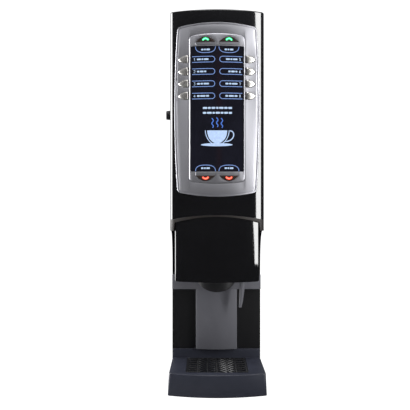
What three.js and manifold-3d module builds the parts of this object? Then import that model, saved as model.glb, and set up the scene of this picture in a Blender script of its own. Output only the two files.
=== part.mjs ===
// Hot drinks vending machine: a slim table-top cabinet with a bowed, hinged door, a fascia of twelve
// buttons round a display, a cup station with a slide-out drip tray, and the drink-making parts inside.
// Millimetres. X is width, the front faces -Y, Z is height, and the origin is on the table under the middle.
import * as THREE from "three";
import { mergeVertices } from "three/addons/utils/BufferGeometryUtils.js";
import Module from "manifold-3d";

const wasm = await Module();
wasm.setup();

// Driving dimensions of the cabinet.
const HALF_WIDTH = 98;
const HEIGHT = 787;
const REAR = 214.7;
const GAP = 0.3;
const SHEET = 1.5;
const SIDE = 97;
const CABINET_FRONT = -133;
const CABINET_TOP = 785;
const COLUMN_FRONT = -77;
const FOOT_HEIGHT = 4;

// The door's front is an arc about the Z axis, with tighter arcs at its two corners.
const BOW = 195;
const DOOR_CORNER = 14;
const DOOR_BACK = -136;
const DOOR_WALL = 3;
const HINGE = { x: 95, y: -137.5, pin: 1.6 };
const LOCK = { y: -149, z: 574 };

// Display and buttons.
const WINDOW = { half: 55, low: 454.5, high: 711 };
const BEZEL = { half: 57.3, low: 433, high: 734, arch: 3, corner: 10 };
const SIDE_BUTTON = { x: 69.5, heights: [685, 660, 635, 610] };
const END_BUTTON = { x: 24, half: 20.5, tall: 18, high: 713, low: 452.8 };
const TRAVEL = 2;

// Cup station.
const MASK = { half: 88, radius: 192.5, corner: 5, low: 227 };
const ROOF = 229;
const HEADER_LOW = 199;
const TRAY = { half: 96.5, frontHalf: 98.1, front: -230, back: -79.3, corner: 7, sag: 16, top: 47.5, flare: 2.3, upstand: 67 };
const GRILLE = { half: 63.5, front: -207.5, back: -83.5, thick: 4, pitch: 16, rise: 42 };

// Drink-making parts.
const SHELF = 520;
const CANISTERS = [["coffee", -62], ["milk", 0], ["chocolate", 62]];
const AUGER_HEIGHT = 539.6;
const BOWL = { y: -98, top: 505, chamber: 412, radius: 24 };
const BOILER = { x: -25, y: 120, radius: 52, low: 250, high: 420 };
const FAN = { y: 187, z: 470, half: 40, deep: 25 };

const PI = Math.PI;

// ---------------------------------------------------------------- solids

function solid(geometry) {
  const bare = geometry.clone();
  bare.deleteAttribute("normal");
  bare.deleteAttribute("uv");
  const merged = mergeVertices(bare, 1e-4);
  const vertProperties = new Float32Array(merged.attributes.position.array);
  const triVerts = new Uint32Array(merged.index.array);
  return new wasm.Manifold(new wasm.Mesh({ numProp: 3, vertProperties, triVerts }));
}

function union(...solids) {
  return solids.reduce((whole, piece) => whole.add(piece));
}

function cut(body, ...tools) {
  return tools.reduce((left, tool) => left.subtract(tool), body);
}

function geometryOf(body) {
  const mesh = body.getMesh();
  const geometry = new THREE.BufferGeometry();
  geometry.setAttribute("position", new THREE.BufferAttribute(new Float32Array(mesh.vertProperties), 3));
  geometry.setIndex(new THREE.BufferAttribute(new Uint32Array(mesh.triVerts), 1));
  geometry.computeVertexNormals();
  return geometry;
}

function box(x0, x1, y0, y1, z0, z1) {
  const geometry = new THREE.BoxGeometry(x1 - x0, y1 - y0, z1 - z0);
  return solid(geometry.translate((x0 + x1) / 2, (y0 + y1) / 2, (z0 + z1) / 2));
}

// A shape drawn in X and Y, raised from z0 to z1.
function raise(shape, z0, z1, curveSegments = 6) {
  const geometry = new THREE.ExtrudeGeometry(shape, { depth: z1 - z0, bevelEnabled: false, curveSegments });
  return solid(geometry.translate(0, 0, z0));
}

// A shape drawn in X and Z, carried from y0 to y1.
function carry(shape, y0, y1, curveSegments = 6) {
  const geometry = new THREE.ExtrudeGeometry(shape, { depth: y1 - y0, bevelEnabled: false, curveSegments });
  return solid(geometry.rotateX(PI / 2).translate(0, y1, 0));
}

// A shape drawn in Y and Z, carried from x0 to x1.
function carryAcross(shape, x0, x1, curveSegments = 6) {
  const geometry = new THREE.ExtrudeGeometry(shape, { depth: x1 - x0, bevelEnabled: false, curveSegments });
  const turn = new THREE.Matrix4().makeBasis(
    new THREE.Vector3(0, 1, 0), new THREE.Vector3(0, 0, 1), new THREE.Vector3(1, 0, 0));
  return solid(geometry.applyMatrix4(turn).translate(x0, 0, 0));
}

// A cylinder or cone from one end of an axis to the other.
function rod(axis, from, to, at, radius, endRadius = radius, sides = 14) {
  const geometry = new THREE.CylinderGeometry(endRadius, radius, to - from, sides);
  if (axis === "x") geometry.rotateZ(-PI / 2).translate((from + to) / 2, at[0], at[1]);
  if (axis === "y") geometry.translate(at[0], (from + to) / 2, at[1]);
  if (axis === "z") geometry.rotateX(PI / 2).translate(at[0], at[1], (from + to) / 2);
  return solid(geometry);
}

// A profile of [radius, height] points turned about the Z axis.
function turned(profile, sides = 24) {
  const points = profile.map(([radius, height]) => new THREE.Vector2(radius, height));
  return new THREE.LatheGeometry(points, sides).rotateX(PI / 2);
}

function pathOf(points) {
  return new THREE.CatmullRomCurve3(points.map((point) => new THREE.Vector3(...point)));
}

function tube(path, radius, steps, sides = 8) {
  const section = new THREE.Shape();
  section.absarc(0, 0, radius, 0, 2 * PI, false);
  const settings = { extrudePath: path, steps, bevelEnabled: false, curveSegments: sides / 2 };
  return solid(new THREE.ExtrudeGeometry(section, settings));
}

function roundedBox(x0, x1, z0, z1, corner) {
  const shape = new THREE.Shape();
  shape.absarc(x1 - corner, z0 + corner, corner, -PI / 2, 0, false);
  shape.absarc(x1 - corner, z1 - corner, corner, 0, PI / 2, false);
  shape.absarc(x0 + corner, z1 - corner, corner, PI / 2, PI, false);
  shape.absarc(x0 + corner, z0 + corner, corner, PI, 1.5 * PI, false);
  return shape;
}

// ---------------------------------------------------------------- curved fronts

// The plan of a front that is an arc of this radius about the origin, with rounded corners and straight sides.
function bowedPlan(half, radius, corner, back) {
  const cornerX = half - corner;
  const cornerY = -Math.sqrt((radius - corner) ** 2 - cornerX ** 2);
  const turn = Math.atan2(cornerY, cornerX);
  const shape = new THREE.Shape();
  shape.moveTo(-half, back);
  shape.absarc(-cornerX, cornerY, corner, PI, PI - turn, false);
  shape.absarc(0, 0, radius, PI - turn, 2 * PI + turn, false);
  shape.absarc(cornerX, cornerY, corner, turn, 0, false);
  shape.lineTo(half, back);
  return shape;
}

// The slab between two arcs about the Z axis, wide enough for any piece of the fascia.
function bowedSlab(outer, inner, z0, z1, segments = 12) {
  const spread = 0.6;
  const shape = new THREE.Shape();
  shape.absarc(0, 0, outer, -PI / 2 - spread, -PI / 2 + spread, false);
  shape.absarc(0, 0, inner, -PI / 2 + spread, -PI / 2 - spread, true);
  return raise(shape, z0, z1, segments);
}

// A plate with this front outline that follows the bow of the door.
function bowedPlate(shape, outer, inner, curveSegments = 5, slabSegments = 8) {
  return carry(shape, -230, -120, curveSegments).intersect(bowedSlab(outer, inner, 300, 800, slabSegments));
}

// A barrel outline: straight ends are arched and the sides swell by the middle.
function barrel(endHalf, midHalf, low, high, lowArch, highArch, corner) {
  const middle = (low + high) / 2;
  const swell = 2 * midHalf - endHalf;
  const shape = new THREE.Shape();
  shape.moveTo(-endHalf + corner, low);
  shape.quadraticCurveTo(0, low - 2 * lowArch, endHalf - corner, low);
  shape.quadraticCurveTo(endHalf, low + 1, endHalf + 0.5, low + corner);
  shape.quadraticCurveTo(swell, middle, endHalf + 0.5, high - corner);
  shape.quadraticCurveTo(endHalf, high - 1, endHalf - corner, high);
  shape.quadraticCurveTo(0, high + 2 * highArch, -endHalf + corner, high);
  shape.quadraticCurveTo(-endHalf, high - 1, -endHalf - 0.5, high - corner);
  shape.quadraticCurveTo(-swell, middle, -endHalf - 0.5, low + corner);
  shape.quadraticCurveTo(-endHalf, low + 1, -endHalf + corner, low);
  return shape;
}

function bezelOutline(grow) {
  const { half, low, high, arch, corner } = BEZEL;
  return barrel(half + grow, half + grow, low - grow, high + grow, arch, arch, corner);
}

// A drop-shaped button outline whose point faces away from the display.
function teardrop(x, z, facing, grow) {
  const shape = new THREE.Shape();
  const size = 1 + grow / 9;
  const at = (dx, dz) => [x + facing * dx * size, z + dz * size];
  shape.moveTo(...at(-9.5, -5.5));
  shape.lineTo(...at(-9.5, 5.5));
  shape.quadraticCurveTo(...at(-9.5, 8.2), ...at(-6, 8.2));
  shape.bezierCurveTo(...at(1, 8.2), ...at(6.5, 5), ...at(10, 1.2));
  shape.quadraticCurveTo(...at(10.8, 0), ...at(10, -1.2));
  shape.bezierCurveTo(...at(6.5, -5), ...at(1, -8.2), ...at(-6, -8.2));
  shape.quadraticCurveTo(...at(-9.5, -8.2), ...at(-9.5, -5.5));
  return shape;
}

// A half-moon button outline with its flat side towards the display.
function halfMoon(x, z, facing, grow) {
  const half = END_BUTTON.half + grow;
  const crown = 2 * (END_BUTTON.tall + grow) - 6;
  const shape = new THREE.Shape();
  shape.moveTo(x - half, z - facing * grow);
  shape.lineTo(x + half, z - facing * grow);
  shape.lineTo(x + half, z + facing * 6);
  shape.quadraticCurveTo(x, z + facing * crown, x - half, z + facing * 6);
  return shape;
}

// ---------------------------------------------------------------- scene graph

const FINISHES = {
  glossBlack: [0x0b0b0d, 0.08, 0],
  satinGrey: [0x3a3b40, 0.5, 0.2],
  blackPaint: [0x141416, 0.35, 0.3],
  silver: [0x9b9ca2, 0.3, 0.8],
  darkTrim: [0x4b4642, 0.4, 0.6],
  window: [0x06070c, 0.05, 0],
  pearl: [0xd9d6cc, 0.25, 0.3],
  trayPlastic: [0x1d2030, 0.45, 0],
  steel: [0xb8bcc0, 0.3, 1],
  chrome: [0xdddddd, 0.1, 1],
  rubber: [0x111111, 0.9, 0],
  clear: [0xd8d2c4, 0.2, 0],
  board: [0x145c2e, 0.5, 0],
  whitePlastic: [0xe6e4de, 0.4, 0],
  darkPlastic: [0x202124, 0.5, 0],
  brass: [0xb08d4c, 0.35, 1],
  hose: [0xd7d9d6, 0.6, 0],
};

function finish(name) {
  const [color, roughness, metalness] = FINISHES[name];
  return new THREE.MeshStandardMaterial({ color, roughness, metalness });
}

function addPart(parent, name, body, finishName, at = [0, 0, 0]) {
  const mesh = new THREE.Mesh(geometryOf(body), finish(finishName));
  mesh.name = name;
  mesh.position.set(...at);
  parent.add(mesh);
}

const group = new THREE.Group();
const cabinet = new THREE.Group();
const door = new THREE.Group();
const works = new THREE.Group();
group.add(cabinet, door, works);

// ---------------------------------------------------------------- cabinet

function sidePanelOutline() {
  const shape = new THREE.Shape();
  shape.moveTo(CABINET_FRONT, CABINET_TOP - SHEET - GAP);
  shape.lineTo(CABINET_FRONT, 330);
  shape.quadraticCurveTo(-78, 316, COLUMN_FRONT, 234);
  shape.lineTo(COLUMN_FRONT, FOOT_HEIGHT);
  shape.lineTo(REAR, FOOT_HEIGHT);
  shape.lineTo(REAR, CABINET_TOP - SHEET - GAP);
  return shape;
}

function sidePanel(facing) {
  const [inner, outer] = [facing * (SIDE - SHEET), facing * SIDE].sort((a, b) => a - b);
  const skin = carryAcross(sidePanelOutline(), inner, outer, 8);
  const flangeEnds = [facing * (SIDE - 9.5), facing * (SIDE - 1)].sort((a, b) => a - b);
  const flange = box(...flangeEnds, CABINET_FRONT, CABINET_FRONT + SHEET, 385, 770);
  const slots = [];
  for (let row = 0; row < 6; row += 1) {
    const z = 90 + row * 12;
    slots.push(box(inner - 1, outer + 1, 90, 180, z, z + 4));
  }
  return cut(union(skin, flange), ...slots);
}

function latchPin() {
  return rod("x", -SIDE + 1, -80, [-128, LOCK.z - 8], 2, 2, 12);
}

function basePan() {
  const side = SIDE - SHEET - GAP;
  const back = REAR - SHEET - 0.5;
  const bowl = cut(box(-side, side, COLUMN_FRONT + GAP, back, FOOT_HEIGHT, 34),
    box(-side + 2, side - 2, COLUMN_FRONT + GAP + 2, back - 2, FOOT_HEIGHT + 2, 40));
  const tongue = box(-75, 75, -200, COLUMN_FRONT + 1, FOOT_HEIGHT, FOOT_HEIGHT + 2.5);
  return union(bowl, tongue);
}

function foot() {
  return solid(turned([[0, 0], [10, 0], [11, 1], [9, FOOT_HEIGHT - GAP], [0, FOOT_HEIGHT - GAP]], 20));
}

function rearPanel() {
  const side = SIDE - SHEET - GAP;
  const panel = box(-side, side, REAR - SHEET, REAR, FOOT_HEIGHT, CABINET_TOP - SHEET - GAP);
  const openings = [box(44, 76, REAR - 5, REAR + 5, 46, 74), rod("y", REAR - 5, REAR + 5, [-60, 60], 11)];
  for (let row = 0; row < 7; row += 1) {
    const z = FAN.z - 33 + row * 10;
    openings.push(box(-33, 33, REAR - 5, REAR + 5, z, z + 5));
  }
  for (let row = 0; row < 5; row += 1) {
    const z = 700 + row * 12;
    openings.push(box(-60, 60, REAR - 5, REAR + 5, z, z + 4));
  }
  return cut(panel, ...openings);
}

function topCover() {
  const plate = box(-SIDE, SIDE, CABINET_FRONT, REAR, CABINET_TOP - SHEET, CABINET_TOP);
  const skirt = box(-84, 84, CABINET_FRONT, CABINET_FRONT + SHEET, 773, CABINET_TOP - 1);
  return union(plate, skirt);
}

function hingeBracket(facing, z) {
  const [low, high] = facing > 0 ? [z, z + 2] : [z - 2, z];
  const plate = box(91, 95.2, -137.5, -100, low, high);
  const tongue = rod("z", low, high, [HINGE.x, HINGE.y], 2.8, 2.8, 16);
  const leaf = box(93.7, 95.2, -128, -100, facing > 0 ? z - 32 : z - 1, facing > 0 ? z + 1 : z + 32);
  const pinEnds = facing > 0 ? [z + 1, z + 5.7] : [z - 6.7, z - 1];
  const pin = rod("z", ...pinEnds, [HINGE.x, HINGE.y], HINGE.pin, HINGE.pin, 12);
  return union(plate, tongue, leaf, pin);
}

addPart(cabinet, "base_pan", basePan(), "steel");
addPart(cabinet, "foot_front_left", foot(), "rubber", [-60, -185, 0]);
addPart(cabinet, "foot_front_right", foot(), "rubber", [60, -185, 0]);
addPart(cabinet, "foot_rear_left", foot(), "rubber", [-75, 190, 0]);
addPart(cabinet, "foot_rear_right", foot(), "rubber", [75, 190, 0]);
addPart(cabinet, "left_side_panel", union(sidePanel(-1), latchPin()), "blackPaint");
addPart(cabinet, "right_side_panel", sidePanel(1), "blackPaint");
addPart(cabinet, "rear_panel", rearPanel(), "steel");
addPart(cabinet, "top_cover", topCover(), "blackPaint");
addPart(cabinet, "hinge_bracket_upper", hingeBracket(1, 780), "steel");
addPart(cabinet, "hinge_bracket_lower", hingeBracket(-1, 375), "steel");

// ---------------------------------------------------------------- cup station

function nicheFrame() {
  const header = box(-SIDE, SIDE, -91, TRAY.back, HEADER_LOW, ROOF + 2);
  const roof = box(-82, 82, -150, TRAY.back - 1, ROOF, ROOF + 2);
  const front = new THREE.Shape();
  front.moveTo(-45, TRAY.back);
  front.lineTo(-45, -89);
  front.quadraticCurveTo(0, -101, 45, -89);
  front.lineTo(45, TRAY.back);
  const pillar = raise(front, TRAY.upstand + GAP, HEADER_LOW + 1, 8);
  const nozzleHole = rod("z", ROOF - 5, ROOF + 8, [0, -116], 9.5);
  const spoutHole = rod("z", ROOF - 5, ROOF + 8, [56, -115], 9);
  const cheeks = [-1, 1].map((facing) => {
    const [low, high] = [facing * 81, facing * 83].sort((a, b) => a - b);
    return box(low, high, -150, TRAY.back - 1, ROOF + 1, 338);
  });
  return cut(union(header, roof, pillar, ...cheeks), nozzleHole, spoutHole);
}

function nozzleGuard() {
  const top = ROOF - GAP;
  const shape = new THREE.Shape();
  shape.moveTo(42, top);
  shape.absellipse(0, top, 42, top - HEADER_LOW, 0, -PI, true);
  const ring = new THREE.Shape();
  ring.absarc(0, -75, 60, PI, 2 * PI, false);
  ring.absarc(0, -75, 57, 2 * PI, PI, true);
  return carry(shape, -140, -76, 10).intersect(raise(ring, HEADER_LOW - 5, ROOF + 5, 10));
}

function drinkNozzle() {
  const path = pathOf([[0, -98, 371], [0, -98, 330], [0, -107, 280], [0, -116, 240], [0, -118, 205]]);
  const bore = pathOf([[0, -98, 373], [0, -98, 330], [0, -107, 280], [0, -116, 240], [0, -118.2, 203]]);
  const collar = rod("z", 352, 371, [0, -98], 10.5);
  const socket = rod("z", 358, 372, [0, -98], 7.6);
  return cut(union(tube(path, 7, 8, 10), collar), tube(bore, 4.6, 8, 6), socket);
}

function hotWaterSpout() {
  const low = 163.5;
  const high = 246;
  const horn = turned([[0, low], [2.8, low], [4.2, 176], [5.7, 205], [6.3, high], [0, high]], 16);
  const bore = turned([[0, low - 1], [1.8, low - 1], [2.2, 185], [3.8, 215], [4.4, high + 1], [0, high + 1]], 12);
  const curl = (geometry) => {
    const place = geometry.attributes.position;
    for (let i = 0; i < place.count; i += 1) {
      const drop = Math.max(0, (high - place.getZ(i)) / (high - low));
      place.setX(i, place.getX(i) + 56 - 5 * drop * drop);
      place.setY(i, place.getY(i) - 115);
    }
    return solid(geometry);
  };
  return cut(curl(horn), curl(bore));
}

addPart(cabinet, "niche_back_panel",
  box(-SIDE, SIDE, -79, COLUMN_FRONT - GAP, 8, ROOF - GAP), "glossBlack");
addPart(cabinet, "niche_frame", nicheFrame(), "satinGrey");
addPart(cabinet, "nozzle_guard", nozzleGuard(), "darkPlastic");
addPart(cabinet, "drink_nozzle", drinkNozzle(), "darkPlastic");
addPart(cabinet, "hot_water_spout", hotWaterSpout(), "satinGrey");

// ---------------------------------------------------------------- drip tray

// The tray widens a little towards its bowed front.
function trayPlan() {
  const { half, frontHalf, front, back, corner, sag } = TRAY;
  const shoulder = front + sag;
  const shape = new THREE.Shape();
  shape.moveTo(-half, back);
  shape.lineTo(-frontHalf, shoulder + corner);
  shape.quadraticCurveTo(-frontHalf, shoulder, -frontHalf + corner, shoulder - 1);
  shape.quadraticCurveTo(0, front - sag + 1, frontHalf - corner, shoulder - 1);
  shape.quadraticCurveTo(frontHalf, shoulder, frontHalf, shoulder + corner);
  shape.lineTo(half, back);
  return shape;
}

// The tray's sides lean out towards the table.
function flared(shape, low, high, spread) {
  const geometry = new THREE.ExtrudeGeometry(shape, { depth: high - low, bevelEnabled: false, curveSegments: 8 });
  const place = geometry.attributes.position;
  for (let i = 0; i < place.count; i += 1) {
    const x = place.getX(i);
    const lean = 1 - place.getZ(i) / (high - low);
    place.setX(i, x + (x / TRAY.half) * spread * lean);
  }
  return solid(geometry.translate(0, 0, low));
}

function dripTray() {
  const block = flared(trayPlan(), 2, TRAY.top, TRAY.flare);
  const upstand = box(-TRAY.half, TRAY.half, TRAY.back - 3.5, TRAY.back, 10, TRAY.upstand);
  const seat = carryBowl(GRILLE.half + 0.5, GRILLE.front - 0.5, GRILLE.back + 0.5, TRAY.top - GRILLE.thick, 60);
  const well = carryBowl(GRILLE.half - 3, GRILLE.front + 3, GRILLE.back - 3, 13, 60);
  const recess = box(-78, 78, -205, TRAY.back + 5, 0, 9);
  return cut(union(block, upstand), seat, well, recess);
}

function carryBowl(half, front, back, low, high) {
  return raise(roundedBox(-half, half, front, back, 5), low, high, 3);
}

// A bar that runs straight in from each side and swings back under the cup.
function waveBar(side, low, high) {
  const reach = 42;
  const near = [];
  const far = [];
  for (let x = -60; x <= 60; x += 7.5) {
    const swing = (GRILLE.rise * (1 + Math.cos(PI * Math.min(1, Math.abs(x) / reach)))) / 2;
    near.push(new THREE.Vector2(x, side + swing - 1.2));
    far.unshift(new THREE.Vector2(x, side + swing + 1.2));
  }
  return raise(new THREE.Shape([...near, ...far]), low, high);
}

// Waved bars crossed by straight ribs inside a flat frame.
function dripGrille() {
  const low = TRAY.top - GRILLE.thick + GAP;
  const high = TRAY.top - 0.5;
  const whole = carryBowl(GRILLE.half, GRILLE.front, GRILLE.back, low, high);
  const inside = carryBowl(GRILLE.half - 3, GRILLE.front + 3, GRILLE.back - 3, low - 1, high + 1);
  let bars = box(-1.6, 1.6, GRILLE.front + 1, GRILLE.back - 1, low, high);
  for (const x of [-40, -20, 20, 40]) {
    bars = bars.add(box(x - 1.2, x + 1.2, GRILLE.front + 1, GRILLE.back - 1, low, high));
  }
  for (let side = GRILLE.front - GRILLE.rise + 8; side < GRILLE.back - 8; side += GRILLE.pitch) {
    bars = bars.add(waveBar(side, low, high).intersect(whole));
  }
  return union(cut(whole, inside), bars);
}

addPart(cabinet, "drip_tray", dripTray(), "trayPlastic");
addPart(cabinet, "drip_grille", dripGrille(), "darkPlastic");

// ---------------------------------------------------------------- door

const ARCH = { end: 354.6, middle: 365.6, underEnd: 349, underMiddle: 362, lug: 332 };

// The door's lower edge: an arch that the trim, the shell and the mask share.
function archOutline(drop) {
  const shape = new THREE.Shape();
  shape.moveTo(-100, ARCH.end - drop);
  shape.quadraticCurveTo(0, 2 * ARCH.middle - ARCH.end - drop, 100, ARCH.end - drop);
  shape.lineTo(100, 200);
  shape.lineTo(-100, 200);
  return shape;
}

function trimOutline() {
  const { end, middle, underEnd, underMiddle, lug } = ARCH;
  const shape = new THREE.Shape();
  shape.moveTo(-100, end - GAP);
  shape.lineTo(-100, lug);
  shape.lineTo(-90, lug);
  shape.quadraticCurveTo(-88.4, 340, -MASK.half, underEnd);
  shape.quadraticCurveTo(0, 2 * underMiddle - underEnd, MASK.half, underEnd);
  shape.quadraticCurveTo(88.4, 340, 90, lug);
  shape.lineTo(100, lug);
  shape.lineTo(100, end - GAP);
  shape.quadraticCurveTo(0, 2 * middle - end - GAP, -100, end - GAP);
  return shape;
}

function doorShell() {
  const outer = raise(bowedPlan(HALF_WIDTH, BOW, DOOR_CORNER, DOOR_BACK), 320, HEIGHT, 8);
  const wall = DOOR_WALL;
  const inner = bowedPlan(HALF_WIDTH - wall, BOW - wall, DOOR_CORNER - wall, DOOR_BACK + 5);
  const cavity = raise(inner, 372, HEIGHT - wall, 8);
  const opening = carry(roundedBox(-83, 83, 424, 742, 8), -230, -150, 2);
  const arch = carry(archOutline(0), -230, -100, 8);
  const lockHole = rod("x", -110, -90, [LOCK.y, LOCK.z], 9);
  const notches = [box(90, 99, -143, -135, 779, 784), box(90, 99, -143, -135, 372, 376.5)];
  const bores = [[782, 786.2], [367.8, 374]].map(
    ([low, high]) => rod("z", low, high, [HINGE.x, HINGE.y], HINGE.pin + 0.5, HINGE.pin + 0.5, 12));
  return cut(outer, arch, cavity, opening, lockHole, ...notches, ...bores);
}

function doorLiner() {
  const panel = box(-94, 94, DOOR_BACK - 2, DOOR_BACK, 377.5, 778);
  const camSlot = box(-88, -78, -145, -130, LOCK.z - 18, LOCK.z + 36);
  return cut(panel, camSlot);
}

function archTrim() {
  const band = cut(
    raise(bowedPlan(HALF_WIDTH, BOW, DOOR_CORNER, DOOR_BACK), 325, 375, 8),
    raise(bowedPlan(HALF_WIDTH - 4, BOW - 4, DOOR_CORNER - 4, DOOR_BACK + 5), 320, 380, 8));
  return band.intersect(carry(trimOutline(), -230, -100, 8));
}

// The mask hangs from the trim: its top wall closes the space above the cup station.
function hoodMask() {
  const { half, radius, corner, low } = MASK;
  const back = -142;
  const shell = cut(
    raise(bowedPlan(half - GAP, radius, corner, back), low, 365, 8),
    raise(bowedPlan(half - 3.3, radius - 3, corner - 3, back + 5), low - 5, 340, 8));
  const under = new THREE.Shape();
  under.moveTo(-100, ARCH.underEnd - 2.7);
  under.lineTo(-MASK.half, ARCH.underEnd - GAP);
  under.quadraticCurveTo(0, 2 * ARCH.underMiddle - ARCH.underEnd - GAP, MASK.half, ARCH.underEnd - GAP);
  under.lineTo(100, ARCH.underEnd - 2.7);
  under.lineTo(100, 200);
  under.lineTo(-100, 200);
  const rounded = carry(roundedBox(-half, half, low, 400, 4), -230, -100, 3);
  return shell.intersect(carry(under, -230, -100, 8)).intersect(rounded);
}

function fascia() {
  const face = bowedPlate(barrel(82, 88, 410, 754, 6.8, 5.2, 10), BOW + 3, BOW + GAP, 6);
  const holes = [carry(bezelOutline(GAP), -230, -150, 5)];
  for (const z of SIDE_BUTTON.heights) {
    for (const facing of [-1, 1]) {
      holes.push(carry(teardrop(facing * SIDE_BUTTON.x, z, facing, 0.5), -230, -150, 3));
    }
  }
  return cut(face, ...holes);
}

function displayBezel() {
  const ring = bowedPlate(bezelOutline(0), BOW + 4.5, BOW + GAP, 5);
  const window = carry(roundedBox(-WINDOW.half, WINDOW.half, WINDOW.low, WINDOW.high, 3), -230, -150, 2);
  const holes = [];
  for (const x of [-END_BUTTON.x, END_BUTTON.x]) {
    holes.push(carry(halfMoon(x, END_BUTTON.high, 1, 0.5), -230, -150, 6));
    holes.push(carry(halfMoon(x, END_BUTTON.low, -1, 0.5), -230, -150, 6));
  }
  return cut(ring, window, ...holes);
}

function displayWindow() {
  const inset = WINDOW.half - GAP;
  const shape = roundedBox(-inset, inset, WINDOW.low + GAP, WINDOW.high - GAP, 3);
  return bowedPlate(shape, BOW + 3, BOW + GAP, 2);
}

// The light box behind the window, on the key board that the buttons press.
function displayModule() {
  const front = BOW - GAP;
  const lean = Math.asin(54 / front);
  const plan = new THREE.Shape();
  plan.moveTo(-54, -171);
  plan.absarc(0, 0, front, -PI / 2 - lean, -PI / 2 + lean, false);
  plan.lineTo(54, -171);
  return union(raise(plan, 457, 708.5, 6), box(-82, 82, -172, -170.4, 428, 737));
}

// A key cap, the flange that keeps it in, and the stem that presses the key board.
function button(outlineOf, x, z, outer, curves) {
  const cap = bowedPlate(outlineOf(0), outer, BOW - 1, curves, 16);
  const flange = bowedPlate(outlineOf(1.2), BOW - 0.1, BOW - 1.6, curves, 16);
  const front = -Math.sqrt((BOW - 1) ** 2 - x ** 2);
  const stem = box(x - 2.5, x + 2.5, front, -172 - TRAVEL - GAP, z - 2.5, z + 2.5);
  return union(cap, flange, stem);
}

// The top button of a column; the others are copies of it, placed lower.
function sideButton(facing) {
  const x = facing * SIDE_BUTTON.x;
  const z = SIDE_BUTTON.heights[0];
  return button((grow) => teardrop(x, z, facing, grow), x, z, BOW + 5.5, 3);
}

function endButton(x, z, facing) {
  return button((grow) => halfMoon(x, z, facing, grow), x, z + facing * 8, BOW + 6, 6);
}

function lockBody() {
  const ring = rod("x", -106.5, -HALF_WIDTH - GAP, [LOCK.y, LOCK.z], 9, 10);
  const sleeve = rod("x", -99, -87, [LOCK.y, LOCK.z], 8.6);
  return cut(union(ring, sleeve), rod("x", -110, -80, [LOCK.y, LOCK.z], 6.4));
}

// The barrel turns a hooked cam down over the latch pin.
function lockCylinder() {
  const barrelRod = rod("x", -106, -83, [LOCK.y, LOCK.z], 6);
  const arm = box(-84, -82, LOCK.y - 4, LOCK.y + 4, LOCK.z - 5, LOCK.z + 28);
  const hook = box(-84, -82, LOCK.y - 4, LOCK.y + 14, LOCK.z + 24, LOCK.z + 28);
  const keyway = box(-107, -100, LOCK.y - 0.8, LOCK.y + 0.8, LOCK.z - 3.5, LOCK.z + 3.5);
  return cut(union(barrelRod, arm, hook), keyway);
}

addPart(door, "door_shell", doorShell(), "glossBlack");
addPart(door, "door_liner", doorLiner(), "blackPaint");
addPart(door, "arch_trim", archTrim(), "darkTrim");
addPart(door, "hood_mask", hoodMask(), "glossBlack");
addPart(door, "fascia", fascia(), "silver");
addPart(door, "display_bezel", displayBezel(), "silver");
addPart(door, "display_window", displayWindow(), "window");
addPart(door, "display_module", displayModule(), "board");
addPart(door, "lock_body", lockBody(), "darkPlastic");
addPart(door, "lock_cylinder", lockCylinder(), "chrome");
const [leftButton, rightButton] = [sideButton(-1), sideButton(1)];
SIDE_BUTTON.heights.forEach((z, row) => {
  addPart(door, `drink_button_left_${row + 1}`, leftButton, "pearl", [0, 0, z - SIDE_BUTTON.heights[0]]);
  addPart(door, `drink_button_right_${row + 1}`, rightButton, "pearl", [0, 0, z - SIDE_BUTTON.heights[0]]);
});
addPart(door, "strong_button", endButton(-END_BUTTON.x, END_BUTTON.high, 1), "silver");
addPart(door, "large_button", endButton(END_BUTTON.x, END_BUTTON.high, 1), "silver");
addPart(door, "hot_water_button", endButton(-END_BUTTON.x, END_BUTTON.low, -1), "silver");
addPart(door, "top_up_button", endButton(END_BUTTON.x, END_BUTTON.low, -1), "silver");

// ---------------------------------------------------------------- drink-making parts

const CANISTER = { half: 28.5, front: -62, back: 122, top: 765, wall: 2, trough: 16 };

function canisterShelf() {
  const side = SIDE - SHEET - GAP;
  const plate = box(-side, side, -60, 182, SHELF, SHELF + 3);
  const lip = box(-side, side, -60, -58, SHELF - 12, SHELF + 1);
  const rearLip = box(-side, side, 180, 182, SHELF - 12, SHELF + 1);
  return union(plate, lip, rearLip);
}

// A hopper's section: straight sides that narrow to a round trough for the auger.
function hopperOutline(inset, top) {
  const half = CANISTER.half - inset;
  const trough = CANISTER.trough - inset;
  const shape = new THREE.Shape();
  shape.moveTo(-half, top);
  shape.lineTo(-half, AUGER_HEIGHT + 45);
  shape.lineTo(-trough, AUGER_HEIGHT + 8);
  shape.absarc(0, AUGER_HEIGHT, trough, PI, 2 * PI, false);
  shape.lineTo(trough, AUGER_HEIGHT + 8);
  shape.lineTo(half, AUGER_HEIGHT + 45);
  shape.lineTo(half, top);
  return shape;
}

function canister() {
  const { front, back, top, wall, trough } = CANISTER;
  const shell = carry(hopperOutline(0, top), front, back, 4);
  const spout = rod("y", front - 34, front + 1, [0, AUGER_HEIGHT], trough);
  const drop = rod("z", AUGER_HEIGHT - 30, AUGER_HEIGHT, [0, front - 20], 11);
  const space = carry(hopperOutline(wall, top - wall), front + wall, back - wall, 4);
  const spoutBore = rod("y", front - 32, front + 5, [0, AUGER_HEIGHT], trough - wall);
  const dropBore = rod("z", AUGER_HEIGHT - 33, AUGER_HEIGHT, [0, front - 20], 9);
  const fill = box(-20, 20, front + 16, back - 16, top - 5, top + 5);
  const shaftHole = rod("y", back - 5, back + 5, [0, AUGER_HEIGHT], 5);
  return cut(union(shell, spout, drop), space, spoutBore, dropBore, fill, shaftHole);
}

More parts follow.
